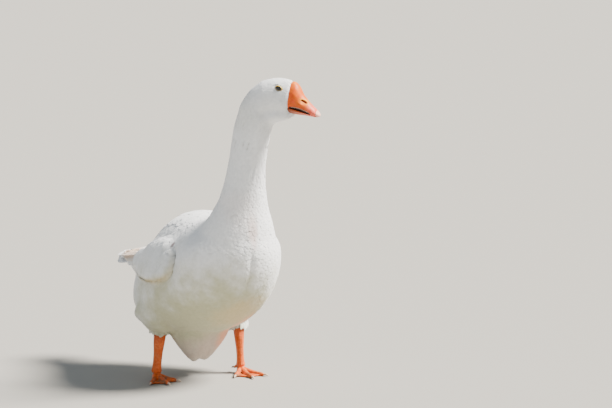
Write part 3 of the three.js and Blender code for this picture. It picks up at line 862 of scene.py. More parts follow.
def vanes(name, feathers, stations, sides, camber, shaft=0.0, keep=slice(None)):
    """One mesh of closed vanes. Stations are shares of the length and of the width there."""
    picked_ones = {key: values[keep] for key, values in feathers.items()}
    p0, p1, p2 = (picked_ones[key] for key in ("root", "mid", "tip"))
    n0, n1, n2 = (picked_ones[key] for key in ("root_up", "mid_up", "tip_up"))
    length, half, rise = (picked_ones[key] for key in ("long", "wide", "rise"))
    count = len(p0)
    across = len(sides)
    lean_side, lean_lead = chance.normal(0, 0.03, (2, count, 1))
    lines, flats, vane_uvs, soft_ups = [], [], [], []

    def station(t, share):
        a, b, c = (1 - t) * (1 - 2 * t), 4 * t * (1 - t), t * (2 * t - 1)
        da, db, dc = 4 * t - 3, 4 - 8 * t, 4 * t - 1
        centre = a * p0 + b * p1 + c * p2
        up = unit((1 - t) ** 2 * n0 + 2 * t * (1 - t) * n1 + t**2 * n2)
        lead = unit(da * p0 + db * p1 + dc * p2)
        side = unit(np.cross(lead, up))
        lift = -ROOT_DEPTH + (rise + ROOT_DEPTH) * (1 - (1 - t) ** 1.8)
        pitch = (rise * 1.8 * max(1 - t, 0.02) ** 0.8 / length)[:, None]
        for u in (sides if share else [0.0]):
            spread = half * share
            drop = camber * u * u * spread - shaft * (1 - t) * (abs(u) < 0.01)
            lines.append(
                centre
                + side * (u * spread)[:, None]
                + up * (lift - drop + camber * 0.5 * half * (share > 0))[:, None]
            )
            flats.append(picked_ones["flat"] + [u * 0.0015, (t - 0.5) * 0.003])
            vane_uvs.append(np.stack([u * spread, t * length], 1))
            lean = side * (1.5 * camber * u + lean_side) - lead * (0.35 * pitch - lean_lead)
            soft_ups.append(unit(up + lean))

    station(0.0, 0.0)
    for t, share in stations:
        station(t, share)
    station(1.0, 0.0)
    rows = len(stations)
    last = 1 + rows * across
    strips = [(i, (i + 1) % across) for i in range(across)]
    row_starts = [1 + row * across for row in range(rows)]
    one = [(0, 1 + j, 1 + i) for i, j in strips]
    for here, after in zip(row_starts, row_starts[1:]):
        one += [(here + i, here + j, after + j, after + i) for i, j in strips]
    one += [(row_starts[-1] + i, row_starts[-1] + j, last) for i, j in strips]
    # The last face of each row is the vane's underside.
    top = ([True] * (across - 1) + [False]) * (rows + 1)
    each = last + 1
    points = np.stack(lines, 1).reshape(-1, 3)
    corners_of_one = np.concatenate([np.array(face_points) for face_points in one])
    starts = np.concatenate([[0], np.cumsum([len(face_points) for face_points in one])])
    offsets = np.arange(count)
    corners_all = (corners_of_one[None] + offsets[:, None] * each).ravel()
    starts_all = (starts[None, :-1] + offsets[:, None] * starts[-1]).ravel()
    mesh = bpy.data.meshes.new(name)
    mesh.vertices.add(len(points))
    mesh.vertices.foreach_set("co", points.ravel())
    mesh.loops.add(len(corners_all))
    mesh.loops.foreach_set("vertex_index", corners_all.astype(np.int32))
    mesh.polygons.add(len(starts_all))
    mesh.polygons.foreach_set("loop_start", starts_all.astype(np.int32))
    mesh.polygons.foreach_set("use_smooth", np.tile(top, count))
    mesh.update(calc_edges=True)
    for layer_name, per_point in (("OFBake", flats), ("Vane", vane_uvs)):
        layer = mesh.uv_layers.new(name=layer_name)
        values = np.stack(per_point, 1).reshape(-1, 2)
        layer.data.foreach_set("uv", values[corners_all].ravel())
    # The tops shade as the rounded body does, so that the vanes look soft.
    flat_ups = np.empty(len(corners_all) * 3, np.float32)
    mesh.corner_normals.foreach_get("vector", flat_ups)
    flat_ups = flat_ups.reshape(-1, 3)
    soft = np.stack(soft_ups, 1).reshape(-1, 3)[corners_all]
    on_top = np.tile(np.repeat(top, [len(face_points) for face_points in one]), count)
    mesh.normals_split_custom_set(np.where(on_top[:, None], soft, flat_ups).tolist())
    mesh.materials.append(feather_paint)
    made = bpy.data.objects.new(name, mesh)
    bpy.context.collection.objects.link(made)
    if "wing" in name:
        paint_mask(made, "WingRim", wing_rim_yellow_and_shade(points))
    if "neck" in name:
        paint_mask(made, "FurrowShade", furrow_shade_mark(points))
    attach(made, "root")


NECK_FROM = 0.385  # height at which the neck's narrow feathers take over, give or take
BELLY_UP_TO = 0.2
BREAST_BACK_TO = -0.1
SMALL = ((0.3, 0.75), (0.72, 1.0), (0.92, 0.6))
NARROW = ((0.2, 0.6), (0.5, 0.95), (0.78, 1.0), (0.94, 0.6))
BROAD = ((0.15, 0.5), (0.45, 0.92), (0.74, 1.0), (0.9, 0.8), (0.975, 0.42))
head_there = at_tries(on_head)[rooted] > 0.5
wing_there = at_tries(in_wing)[rooted] > 0.5
tail_there = at_tries(on_tail)[rooted] > 0.5
thigh_there = at_tries(on_thigh)[rooted] > 0.5
taken = head_there | wing_there | tail_there | thigh_there
neck_there = ~taken & (root_z + chance.uniform(-0.025, 0.025, len(rooted)) > NECK_FROM)
taken = taken | neck_there
belly_there = ~taken & (root_z < BELLY_UP_TO)
taken = taken | belly_there
front_there = ~taken & (root_y < BREAST_BACK_TO)
back_there = ~taken & ~front_there
THREE = (-1, 0, 1)
FIVE = (-1, -0.5, 0, 0.5, 1)
for name, there, stations, sides, camber in (
    ("coat_head", head_there, SMALL, THREE, 0.16),
    ("coat_neck", neck_there, NARROW, THREE, 0.16),
    ("coat_breast", front_there, BROAD, THREE, 0.08),
    ("coat_belly", belly_there, NARROW, THREE, 0.08),
    ("coat_back", back_there, BROAD, FIVE, 0.05),
    ("coat_thighs", thigh_there, NARROW, THREE, 0.14),
    ("coat_tail", tail_there, BROAD, FIVE, 0.1),
    ("coat_wing_left", wing_there & (root_x > 0), BROAD, FIVE, 0.12),
    ("coat_wing_right", wing_there & (root_x < 0), BROAD, FIVE, 0.12),
):
    vanes(name, small_feathers, stations, sides, camber, keep=there)

# --- Wing feathers ----------------------------------------------------------------------------
# The folded wing's long feathers lie back along the body in layers: a row of secondaries along
# its lower edge, a row of greater coverts over their roots, then the broad tertials, with the
# tips of the primaries crossing over the root of the tail.
LONG = (
    (0.03, 0.3),
    (0.12, 0.66),
    (0.3, 0.9),
    (0.5, 1.0),
    (0.68, 1.0),
    (0.82, 0.9),
    (0.91, 0.72),
    (0.97, 0.42),
)
SHAFTED = (-1, -0.5, -0.06, 0, 0.06, 0.5, 1)
TAIL_REACH = 0.235  # how far back the rump bears the wings' tips, which stand free beyond it
QUILL_ROWS = (
    # number, first root's y and z with their steps, the same of the tips, how far the middle
    # sags to the tip's height, half width, the three rises and the step of the middle one
    (
        10,  # secondaries
        ((-0.03, 0.238), (0.014, -0.0004)),
        ((0.064, 0.221), (0.0155, 0.0011)),
        0.58,
        0.0115,
        (0.0005, 0.0026, 0.0034),
        -0.0001,
    ),
    (
        11,  # greater coverts
        ((-0.052, 0.262), (0.0145, -0.0006)),
        ((0.008, 0.238), (0.0155, 0.0004)),
        0.55,
        0.0115,
        (0.001, 0.0036, 0.0046),
        0.0,
    ),
    (
        5,  # tertials
        ((0.055, 0.254), (0.012, 0.0045)),
        ((0.158, 0.238), (0.013, 0.0045)),
        0.5,
        0.0155,
        (0.001, 0.0052, 0.006),
        0.0004,
    ),
)
PRIMARIES = 5  # that show beyond the other rows
PRIMARY_ENDS = (
    # x, y of the first one's root and of its tip, each with its steps
    ((0.06, 0.125), (0.003, 0.0)),
    ((0.024, 0.286), (0.0045, -0.017)),
)


def on_body(side, y, z):
    """The skin's place and its outward normal beside this point of the wing, on side -1 or 1."""
    start = stand_point + Vector((side * 0.4, y, z))
    place, _, face_index, _ = skin_tree.ray_cast(start, Vector((-side, 0, 0)))
    if place is None:
        place, _, face_index, _ = skin_tree.find_nearest(stand_point + Vector((side * 0.03, y, z)))
    return np.array(place), unit(outward[skin.faces[face_index]].mean(0))


def on_rump(x, y):
    """The skin's place and its outward normal right below this point over the rump and tail."""
    start = stand_point + Vector((x, y, 0.4))
    place, _, face_index, _ = skin_tree.ray_cast(start, Vector((0, 0, -1)))
    if place is None:
        place, _, face_index, _ = skin_tree.find_nearest(start - Vector((0, 0, 0.155)))
    return np.array(place), unit(outward[skin.faces[face_index]].mean(0))


def long_feathers(spots):
    """Sizes of long feathers from (three places with normals, half width, three rises)."""
    made = {key: [] for key in small_feathers}
    for (a, b, c), half_width, rises in spots:
        places = [place + up * lift for (place, up), lift in zip((a, b, c), rises)]
        for key, value in zip(("root", "mid", "tip"), places):
            made[key].append(value)
        for key, (_, up) in zip(("root_up", "mid_up", "tip_up"), (a, b, c)):
            made[key].append(up)
        made["long"].append(np.linalg.norm(places[2] - places[0]))
        made["wide"].append(half_width)
        made["rise"].append(0.0)
        _, _, face_index, _ = skin_tree.find_nearest(Vector(places[0]))
        made["flat"].append(unwrapped[skin.faces[face_index]].mean(0))
    return {key: np.array(values) for key, values in made.items()}


for side_name, side in (("left", 1), ("right", -1)):
    spots = []
    for number, roots, tips, sag, half_width, rises, rise_step in QUILL_ROWS:
        for k in range(number):
            (y0, z0), (y2, z2) = (
                np.array(first) + np.array(step) * k for first, step in (roots, tips)
            )
            centre = ((y0 + y2) / 2, z0 * (1 - sag) + z2 * sag)
            line = [on_body(side, *spot) for spot in ((y0, z0), centre, (y2, z2))]
            spots.append((line, half_width, (rises[0], rises[1] + rise_step * k, rises[2])))
    vanes(f"wing_quills_{side_name}", long_feathers(spots), LONG, SHAFTED, 0.14, 0.0006)

    spots = []
    for k in range(PRIMARIES):
        base, point = (np.array(first) + np.array(step) * k for first, step in PRIMARY_ENDS)
        centre = (base + point) / 2
        line = [on_rump(side * x, min(y, TAIL_REACH)) for x, y in (base, centre, point)]
        beyond = max(point[1] - TAIL_REACH, 0)
        line[2] = (line[2][0] + (0, beyond, -0.36 * beyond), line[2][1])
        over = 0.0005 * (PRIMARIES - 1 - k)
        spots.append((line, 0.0105, (-0.0025, 0.0042 + over, 0.0055 + over)))
    vanes(f"wing_tips_{side_name}", long_feathers(spots), LONG, SHAFTED, 0.16, 0.0006)

# --- Tail feathers ----------------------------------------------------------------------------
# A short fan of stiff steering feathers, the middle pair on top and each outer one lying below
# its neighbour, with their roots under the coverts.
TAIL_FEATHERS = 13
TAIL_ROOT = (0.196, 0.239)  # y, z of the middle feather's root
TAIL_ROOTS = 0.018  # half the width of the row of roots
TAIL_FAN = 17  # degrees from the middle feather to an outer one
TAIL_LONG = 0.0965
TAIL_SAG = 0.015  # how far an outer feather hangs below the middle one
POINTED = (
    (0.03, 0.3),
    (0.12, 0.66),
    (0.3, 0.92),
    (0.55, 1.0),
    (0.76, 0.96),
    (0.89, 0.74),
    (0.96, 0.42),
)
middle_feather = (TAIL_FEATHERS - 1) / 2
spots = []
for k in range(TAIL_FEATHERS):
    share = (k - middle_feather) / middle_feather
    fan = math.radians(TAIL_FAN * share)
    reach = TAIL_LONG * (1 - 0.17 * share * share) + chance.uniform(-0.004, 0.003)
    sag = TAIL_SAG * share * share
    base = Vector((TAIL_ROOTS * share, TAIL_ROOT[0], TAIL_ROOT[1] - sag * 0.5)) + stand_point
    point = base + Vector((reach * math.sin(fan), reach * math.cos(fan), -0.003 - sag * 0.5))
    centre = base.lerp(point, 0.5) + Vector((0, 0, 0.0025))
    up = unit(np.array([0.7 * share, 0.05, 1.0]))
    line = [(np.array(place), up) for place in (base, centre, point)]
    under = -0.0005 * abs(k - middle_feather)
    spots.append((line, 0.0135, (under, under, under)))
vanes("tail_quills", long_feathers(spots), POINTED, SHAFTED, 0.1, 0.0008)

# --- Hem of the thighs ------------------------------------------------------------------------
# Loose feathers that hang from the thighs in two rings round the top of each shank.
# The rings' distance from the shank, height over its top, number, shortest and longest feather.
HEM_RINGS = ((0.021, 0.009, 34, 0.006, 0.0105), (0.0155, 0.003, 26, 0.006, 0.012))
OUTER_TUFT = (0.03, 0.018, 60, 0.014, 0.024)  # of the left leg, where the feathers hang loosest
for side in ("left", "right"):
    shank_points = np.array([vert.co for vert in nodes[f"shank_{side}"].data.vertices])
    shank_top = shank_points[shank_points[:, 2] > shank_points[:, 2].max() - 0.003].mean(0)
    spots = []
    for away, above, number, shortest, longest in (*HEM_RINGS, OUTER_TUFT):
        for k in range(number):
            turn = (k + chance.uniform(-0.45, 0.45)) / number * math.tau
            out = np.array([math.cos(turn), math.sin(turn), 0.0])
            reach = chance.uniform(shortest, longest)
            outer = math.cos(turn + math.radians(30))
            if away == OUTER_TUFT[0] and (side == "right" or outer < 0.45):
                continue
            start = shank_top + out * away + (0, 0, above)
            base = np.array(skin_tree.find_nearest(Vector(start))[0])
            tip_place = base + out * 0.0015 - (0, 0, reach)
            bend = base + out * 0.0035 - (0, 0, reach * 0.5)
            facing = unit(out + (0, 0, 0.3))
            line = [(base - facing * 0.001, facing), (bend, facing), (tip_place, out)]
            spots.append((line, chance.uniform(0.0022, 0.0034), (0.0, 0.0, 0.0)))
    vanes(f"hem_{side}", long_feathers(spots), NARROW, THREE, 0.2)

# --- Bill ---------------------------------------------------------------------------------------
# A deep wedge of bone under a thin horny skin: orange at its swollen base, pink towards the tip.
# The upper mandible's edge arches over a dark gape with pale lamellae, and a slit nostril lies
# under the ridge. The dark of the gape and of the nostril is painted shade, as is part of the
# deeper orange on the sides. The peach along the top near the base is a painted highlight, and
# the yellow rim round the nostril is partly a painted highlight.
FEATHER_EDGE = ((-24, 20), (-29, -30))  # y, z at the top and at the corner of the gape, in mm
GAPE = ((-29, -29.5), (-92, -31))  # y, z of the lower mandible's edge, from corner to tip, in mm
BILL_GRAIN = 0.0008  # size of the bill's faces, in metres
NAIL_GRAIN = 0.0006
TUCK = 4.0  # how far the bill runs back under the feathers
NOSTRIL = (-57.3, -10.6)  # y, z of its middle
NOSTRIL_TILT = 0.22
ARCH = (-30, 46, 4.6)  # the upper edge's arch over the gape: where it starts, length and height
RECESS_DEPTH = 2.4  # of the gape, in mm; the next two are too
LIP_HEIGHT = 0.55
SLIT_DEPTH = 3.0


def tucked_under_feathers(mesh, depth):
    """Runs the bill's cut rear face back under the face's feathers."""
    (top_y, top_z), (corner_y, corner_z) = FEATHER_EDGE
    forward = unit(np.array([0.0, corner_z - top_z, top_y - corner_y]))
    points = in_head(np.array([vert.co for vert in mesh.vertices]))
    off = (points - [0, corner_y, corner_z]) @ forward
    rear = off < 0.6
    points[rear] -= forward * depth
    points[rear, 0] *= 0.93
    centre_z = (top_z + corner_z) / 2
    points[rear, 2] = centre_z + (points[rear, 2] - centre_z) * 0.95
    for vert, place in zip(mesh.vertices, from_head(points)):
        vert.co = place
    return mesh


def gape_height(y):
    (y0, z0), (y1, z1) = GAPE
    return z0 + (y - y0) / (y1 - y0) * (z1 - z0)


def arch_height(y):
    start, length, height = ARCH
    return height * np.clip(np.sin(np.pi * np.clip((start - y) / length, 0, 1)), 0, 1) ** 0.6


upper_mesh = tucked_under_feathers(joined_solids(("bill_upper",), grow=0.0003), TUCK)
upper = Surface(*evenly_faced(upper_mesh, BILL_GRAIN))
upper.points = upper.relaxed(upper.points, 34)
px, py, pz = in_head(upper.points).T
round_nostril = np.hypot((py - NOSTRIL[0]) / 12.5, (pz - NOSTRIL[1]) / 6.5)
upper.points = upper.relaxed(upper.points, 190, 0.5 * smooth_step(-round_nostril, -1.0, -0.8))
px, py, pz = in_head(upper.points).T
up = upper.normals() @ head_turn
arch = arch_height(py)
above_gape = pz - gape_height(py)
recess = smooth_step(-above_gape, -arch, -arch + 1.0) * (arch > 0.2)
lip = np.exp(-(((above_gape - arch - 0.8) / 1.0) ** 2)) * smooth_step(-py, 27, 36)
lip *= smooth_step(py, -82, -72)
slit_y, slit_z = py - NOSTRIL[0], pz - NOSTRIL[1]
slit_along = slit_y * math.cos(NOSTRIL_TILT) + slit_z * math.sin(NOSTRIL_TILT)
slit_across = slit_z * math.cos(NOSTRIL_TILT) - slit_y * math.sin(NOSTRIL_TILT)
slit = np.exp(-((slit_along / 5.8) ** 4)) * np.exp(-((slit_across / 1.75) ** 4))
slit_ring = np.hypot(slit_along / 7.8, slit_across / 3.4)
slit_rim = np.exp(-(((slit_ring - 1) / 0.3) ** 2)) * (1 + 0.5 * np.sign(slit_across))
slit_hollow = np.exp(-((slit_along / 9.0) ** 2)) * np.exp(-((slit_across / 4.6) ** 2))
on_flank = np.clip(np.abs(up[:, 0]) * 2.2, 0, 1)
wrinkle = np.sin(pz * 1.3 + 3 * np.sin(py * 0.33 + pz * 0.11) + np.sin(px * 0.6))
wrinkle *= np.exp(-(((py + 30) / 7) ** 2))
crown_groove = np.exp(-((px / 2.2) ** 2)) * np.exp(-(((py + 46) / 9) ** 2)) * (up[:, 2] > 0)
shift = (
    -RECESS_DEPTH * recess
    + LIP_HEIGHT * lip
    - (SLIT_DEPTH * slit + 0.3 * slit_hollow - 0.4 * slit_rim) * on_flank
    + 0.05 * wrinkle
    - 0.3 * crown_groove
)
upper.points = upper.points + upper.normals() * (shift * 0.001)[:, None]
upper.points = upper.relaxed(upper.points, 2)
lower_mesh = tucked_under_feathers(joined_solids(("bill_lower",), grow=0.0004), TUCK)
lower = Surface(*evenly_faced(lower_mesh, BILL_GRAIN))
lower.points = lower.relaxed(lower.points, 8)
nail = Surface(*evenly_faced(joined_solids(("bill_nail",), grow=0.0003), NAIL_GRAIN))
nail.points = nail.relaxed(nail.points, 16)


def ramp(tree, factor, stops):
    """A colour ramp over factor; stops are places from 0 to 1, each with its colour."""
    node = tree.nodes.new("ShaderNodeValToRGB")
    while len(node.color_ramp.elements) < len(stops):
        node.color_ramp.elements.new(0.5)
    for element, (place, tint) in zip(node.color_ramp.elements, stops):
        element.position = place
        element.color = (*tint, 1)
    tree.links.new(factor, node.inputs["Fac"])
    return node.outputs["Color"]


# Horny skin: fine pores and soft blotches, shared by the bill and the legs.
horn_group, horn_in, horn_out = new_group(
    "horny_skin",
    [("Colour", "NodeSocketColor"), ("Blotch", "NodeSocketFloat"), ("Size", "NodeSocketFloat")],
    [
        ("Colour", "NodeSocketColor"),
        ("Height", "NodeSocketFloat"),
        ("Roughness", "NodeSocketFloat"),
    ],
)
horn_place = add_node(horn_group, "ShaderNodeTexCoord").outputs["Object"]
horn_blotch = add_node(
    horn_group,
    "ShaderNodeTexNoise",
    i0=horn_place,
    Scale=horn_in.outputs["Size"],
    Detail=4.0,
    Roughness=0.6,
).outputs["Fac"]
horn_tone = spread(horn_group, horn_blotch, 0.3, 0.7, 0.8, 1.12)
horn_even = add_node(
    horn_group,
    "ShaderNodeMix",
    {"data_type": "FLOAT"},
    i0=horn_in.outputs["Blotch"],
    i2=1.0,
    i3=horn_tone,
)
horn_toned = add_node(
    horn_group,
    "ShaderNodeVectorMath",
    {"operation": "SCALE"},
    i0=horn_in.outputs["Colour"],
    Scale=horn_even.outputs[0],
)
horn_gloss = spread(horn_group, horn_blotch, 0.3, 0.7, 0.36, 0.52)
horn_group.links.new(horn_toned.outputs[0], horn_out.inputs["Colour"])
horn_group.links.new(cloud(horn_group, 900.0, 2.0), horn_out.inputs["Height"])
horn_group.links.new(horn_gloss, horn_out.inputs["Roughness"])


def horny_material(name, paint_colour, blotch, size, bump=0.12):
    """A material of horny skin; paint_colour builds its colour from the piece's own masks."""
    paint, tree, shader = new_paint(name)
    shader.inputs["Specular IOR Level"].default_value = 0.2
    shader.inputs["Subsurface Weight"].default_value = 0.12
    shader.inputs["Subsurface Radius"].default_value = (0.003, 0.0012, 0.0006)
    shader.inputs["Subsurface Scale"].default_value = 1.0
    group = tree.nodes.new("ShaderNodeGroup")
    group.node_tree = horn_group
    group.inputs["Blotch"].default_value = blotch
    group.inputs["Size"].default_value = size
    tree.links.new(paint_colour(tree), group.inputs["Colour"])
    tree.links.new(group.outputs["Colour"], shader.inputs["Base Color"])
    tree.links.new(group.outputs["Roughness"], shader.inputs["Roughness"])
    relief = add_node(
        tree, "ShaderNodeBump", Strength=bump, Distance=0.0003, Height=group.outputs["Height"]
    )
    tree.links.new(relief.outputs["Normal"], shader.inputs["Normal"])
    return paint


ORANGE = (0.7, 0.1, 0.001)
# Deeper orange of the lip and the feather edge, also used as painted shade on the sides.
DEEP_ORANGE_AND_SHADE = (0.66, 0.07, 0.006)
# Peach for the painted highlight along the top of the upper mandible.
LIT_PEACH = (0.8, 0.19, 0.006)
PINK = (0.81, 0.165, 0.11)
# Near-black brown: painted shade in the gape.
GAPE_SHADE = (0.05, 0.018, 0.012)


def upper_colour(tree):
    base = ramp(
        tree,
        mask_of(tree, "Forward"),
        ((0.0, ORANGE), (0.3, (0.7, 0.125, 0.002)), (0.58, (0.73, 0.14, 0.012)), (0.84, PINK)),
    )
    # Painted highlight: peach on the faces that look up, near the base.
    base = mixed_in(tree, base, LIT_PEACH, mask_of(tree, "RidgeHighlight"))
    place = add_node(tree, "ShaderNodeTexCoord").outputs["Object"]
    flush = add_node(tree, "ShaderNodeTexNoise", i0=place, Scale=120.0, Detail=5.0, Distortion=0.6)
    flushed = spread(tree, flush.outputs["Fac"], 0.48, 0.7, 0.0, 0.6)
    base = mixed_in(tree, base, (0.78, 0.07, 0.025), flushed)
    # Yellow-orange rim round the nostril, stronger above it: partly a painted highlight.
    base = mixed_in(tree, base, (0.88, 0.36, 0.02), mask_of(tree, "Rim"))
    # Deeper orange on the lip and by the feathers, and painted shade on the sides and lower faces.
    base = mixed_in(tree, base, DEEP_ORANGE_AND_SHADE, mask_of(tree, "DeepAndShade"))
    # Painted shade in the nostril's hollow.
    base = mixed_in(tree, base, (0.16, 0.008, 0.008), mask_of(tree, "SlitShade"))
    # Painted shade in the gape under the arch.
    return mixed_in(tree, base, GAPE_SHADE, mask_of(tree, "GapeShade"))


upper_piece = object_of("upper_mandible", upper.points, upper.faces)
px, py, pz = in_head(upper.points).T
paint_mask(upper_piece, "Forward", (-py - 26) / 60)
# Mask of the painted highlight: faces that look up, near the base.
paint_mask(upper_piece, "RidgeHighlight", smooth_step(up[:, 2], 0.25, 0.9) * smooth_step(py, -52, -34) * 0.8)
# Nostril's rim, stronger on its upper side: partly a painted highlight.
paint_mask(upper_piece, "Rim", (slit_rim + 0.5 * slit_hollow) * on_flank * 0.9)
# Lip and feather edge, and painted shade on the faces that turn away from above.
paint_mask(
    upper_piece,
    "DeepAndShade",
    0.75 * lip + 0.5 * np.exp(-(((py + 32) / 2.6) ** 2)) + 0.3 * np.clip(0.5 - up[:, 2], 0, 1),
)
# Painted shade in the nostril's hollow.
paint_mask(upper_piece, "SlitShade", slit * on_flank * 2.2)
# Painted shade in the gape under the arch.
paint_mask(upper_piece, "GapeShade", recess * 1.2)
upper_piece.data.materials.append(horny_material("bill_skin", upper_colour, 0.7, 140))
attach(upper_piece, "root")
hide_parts("bill_upper")


def lower_colour(tree):
    base = ramp(
        tree,
        mask_of(tree, "Forward"),
        (
            (0.0, (0.2, 0.04, 0.01)),
            (0.35, (0.42, 0.08, 0.02)),
            (0.75, (0.74, 0.16, 0.09)),
            (1.0, PINK),
        ),
    )
    # Painted shade along the gape.
    return mixed_in(tree, base, GAPE_SHADE, mask_of(tree, "GapeShade"))


lower_piece = object_of("lower_mandible", lower.points, lower.faces)
_, ly, lz = in_head(lower.points).T
paint_mask(lower_piece, "Forward", (-ly - 28) / 60)
near_edge = smooth_step(lz - gape_height(ly), -2.2, -0.6)
# Painted shade along the lower mandible's edge at the gape.
paint_mask(lower_piece, "GapeShade", near_edge * smooth_step(ly, -84, -74))
lower_piece.data.materials.append(horny_material("lower_bill_skin", lower_colour, 0.7, 160))
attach(lower_piece, "root")
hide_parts("bill_lower")


def nail_colour(tree):
    return ramp(
        tree,
        mask_of(tree, "Forward"),
        ((0.0, (0.82, 0.25, 0.19)), (0.45, (0.84, 0.38, 0.3)), (1.0, (0.84, 0.48, 0.38))),
    )


nail_piece = object_of("nail", nail.points, nail.faces)
_, ny, _ = in_head(nail.points).T
paint_mask(nail_piece, "Forward", (-ny - 80) / 14)
nail_piece.data.materials.append(horny_material("nail_horn", nail_colour, 0.35, 220))
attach(nail_piece, "root")
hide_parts("bill_nail")

# The comb of small horny teeth that hangs inside the arch of the upper mandible, on both sides.
upper_tree = BVHTree.FromPolygons(upper.points.tolist(), upper.faces.tolist())
TEETH = 44  # on each side
FIRST_TOOTH, TOOTH_STEP = -34.0, 0.95  # along the bill, in mm
TOOTH_LONG, TOOTH_THICK = 0.0022, 0.00042
comb_roots = []
for side in (-1, 1):
    for step in range(TEETH):
        tooth_y = FIRST_TOOTH - step * TOOTH_STEP
        tooth_z = gape_height(tooth_y) + arch_height(tooth_y) - 0.7
        outside = from_head(np.array([side * 40.0, tooth_y, tooth_z]))
        inward = head_turn @ np.array([-side, 0.0, 0.0])
        hit, _, _, _ = upper_tree.ray_cast(Vector(outside), Vector(inward))
        if hit:
            comb_roots.append(Vector(hit) + Vector(inward) * 0.0001)


def add_socket(tree, label, in_out, kind):
    return tree.interface.new_socket(label, in_out=in_out, socket_type=kind).identifier


def comb_tree():
    """Geometry Nodes: a tapering tooth at every point, all pointing one way."""
    tree = bpy.data.node_groups.new("comb_of_teeth", "GeometryNodeTree")
    names = {}
    for label, kind in (
        ("Geometry", "Geometry"),
        ("Height", "Float"),
        ("Thickness", "Float"),
        ("Turn", "Rotation"),
        ("Material", "Material"),
    ):
        names[label] = add_socket(tree, label, "INPUT", f"NodeSocket{kind}")
    add_socket(tree, "Geometry", "OUTPUT", "NodeSocketGeometry")
    given = tree.nodes.new("NodeGroupInput")
    result = tree.nodes.new("NodeGroupOutput")
    tooth = add_node(tree, "GeometryNodeMeshCone", {"fill_type": "TRIANGLE_FAN"}, Vertices=6)
    tree.links.new(given.outputs["Thickness"], tooth.inputs["Radius Bottom"])
    tree.links.new(given.outputs["Height"], tooth.inputs["Depth"])
    size = add_node(
        tree, "FunctionNodeRandomValue", {"data_type": "FLOAT"}, i2=0.8, i3=1.15, Seed=5
    )
    placed = add_node(
        tree,
        "GeometryNodeInstanceOnPoints",
        Points=given.outputs["Geometry"],
        Instance=tooth.outputs["Mesh"],
        Rotation=given.outputs["Turn"],
        Scale=size.outputs[1],
    )
    real = add_node(tree, "GeometryNodeRealizeInstances", Geometry=placed.outputs["Instances"])
    painted = add_node(
        tree,
        "GeometryNodeSetMaterial",
        Geometry=real.outputs["Geometry"],
        Material=given.outputs["Material"],
    )
    tree.links.new(painted.outputs["Geometry"], result.inputs["Geometry"])
    return tree, names


def plain_mesh(thing):
    """Replaces an object's mesh by what its modifiers make of it, and drops them."""
    graph = bpy.context.evaluated_depsgraph_get()
    made = bpy.data.meshes.new_from_object(thing.evaluated_get(graph))
    thing.modifiers.clear()
    thing.data = made


def plain_horn(name, tint, roughness):
    """Pale horn with faint streaks."""
    paint, tree, shader = new_paint(name)
    shader.inputs["Roughness"].default_value = roughness
    dull = tuple(0.72 * part for part in tint)
    tone = ramp(tree, cloud(tree, 420.0, 3.0), ((0.35, dull), (0.65, tint)))
    tree.links.new(tone, shader.inputs["Base Color"])
    return paint


comb_piece = bpy.data.objects.new("bill_comb", bpy.data.meshes.new("bill_comb"))
comb_piece.data.from_pydata(comb_roots, [], [])
bpy.context.collection.objects.link(comb_piece)
comb = comb_piece.modifiers.new("comb", "NODES")
comb.node_group, comb_inputs = comb_tree()
comb[comb_inputs["Height"]] = TOOTH_LONG
comb[comb_inputs["Thickness"]] = TOOTH_THICK
comb[comb_inputs["Turn"]] = (head_frame @ Matrix.Rotation(math.pi, 4, "X")).to_euler()
comb[comb_inputs["Material"]] = plain_horn("comb_horn", (0.7, 0.52, 0.4), 0.45)
plain_mesh(comb_piece)
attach(comb_piece, "root")

# --- Eyes -----------------------------------------------------------------------------------
# Each eye is a dark wet ball, nearly black with a dark blue-grey iris, showing through an
# almond-shaped opening. The lids roll out from the ball as a bare yellowish rim, with painted
# shade on the lower lid.
SIDES = (("left", 1), ("right", -1))
LID_ACROSS = (
    # times the opening's size, height over the ball or face in mm
    (0.9, -0.9),
    (0.955, -0.1),
    (0.985, 0.26),
    (1.02, 0.5),
    (1.06, 0.56),
    (1.1, 0.42),
    (1.135, 0.34),
    (1.18, 0.46),
    (1.24, 0.54),
    (1.3, 0.46),
    (1.38, 0.3),
    (1.46, -0.1),
    (1.56, -0.9),
    (1.46, -2.4),
    (1.25, -3.0),
    (1.0, -2.4),
)
LID_ROUND = 72
BALL_ROUND, BALL_RINGS = 64, 47  # points round the ball, and rings of them from pole to pole
CORNEA_BULGE = 0.035  # share of the ball's radius


def round_ball():
    """Points and triangles of an eye's ball about its own middle, with the pupil's pole up."""
    turn = np.arange(BALL_ROUND) / BALL_ROUND * math.tau
    tilt = np.arange(1, BALL_RINGS + 1)[:, None] / (BALL_RINGS + 1) * math.pi
    rings = np.broadcast_arrays(
        np.sin(tilt) * np.cos(turn), np.sin(tilt) * np.sin(turn), np.cos(tilt)
    )
    poles = [(0, 0, 1), (0, 0, -1)]
    points = EYE_RADIUS * np.concatenate([np.stack(rings, 2).reshape(-1, 3), poles])
    near_pole, far_pole = len(points) - 2, len(points) - 1
    last_ring = (BALL_RINGS - 1) * BALL_ROUND
    faces = []
    for i in range(BALL_ROUND):
        j = (i + 1) % BALL_ROUND
        faces.append((near_pole, i, j))
        for here in range(0, last_ring, BALL_ROUND):
            below = here + BALL_ROUND
            faces.append((here + i, below + i, below + j))
            faces.append((here + i, below + j, here + j))
        faces.append((far_pole, last_ring + j, last_ring + i))
    return points, np.array(faces)


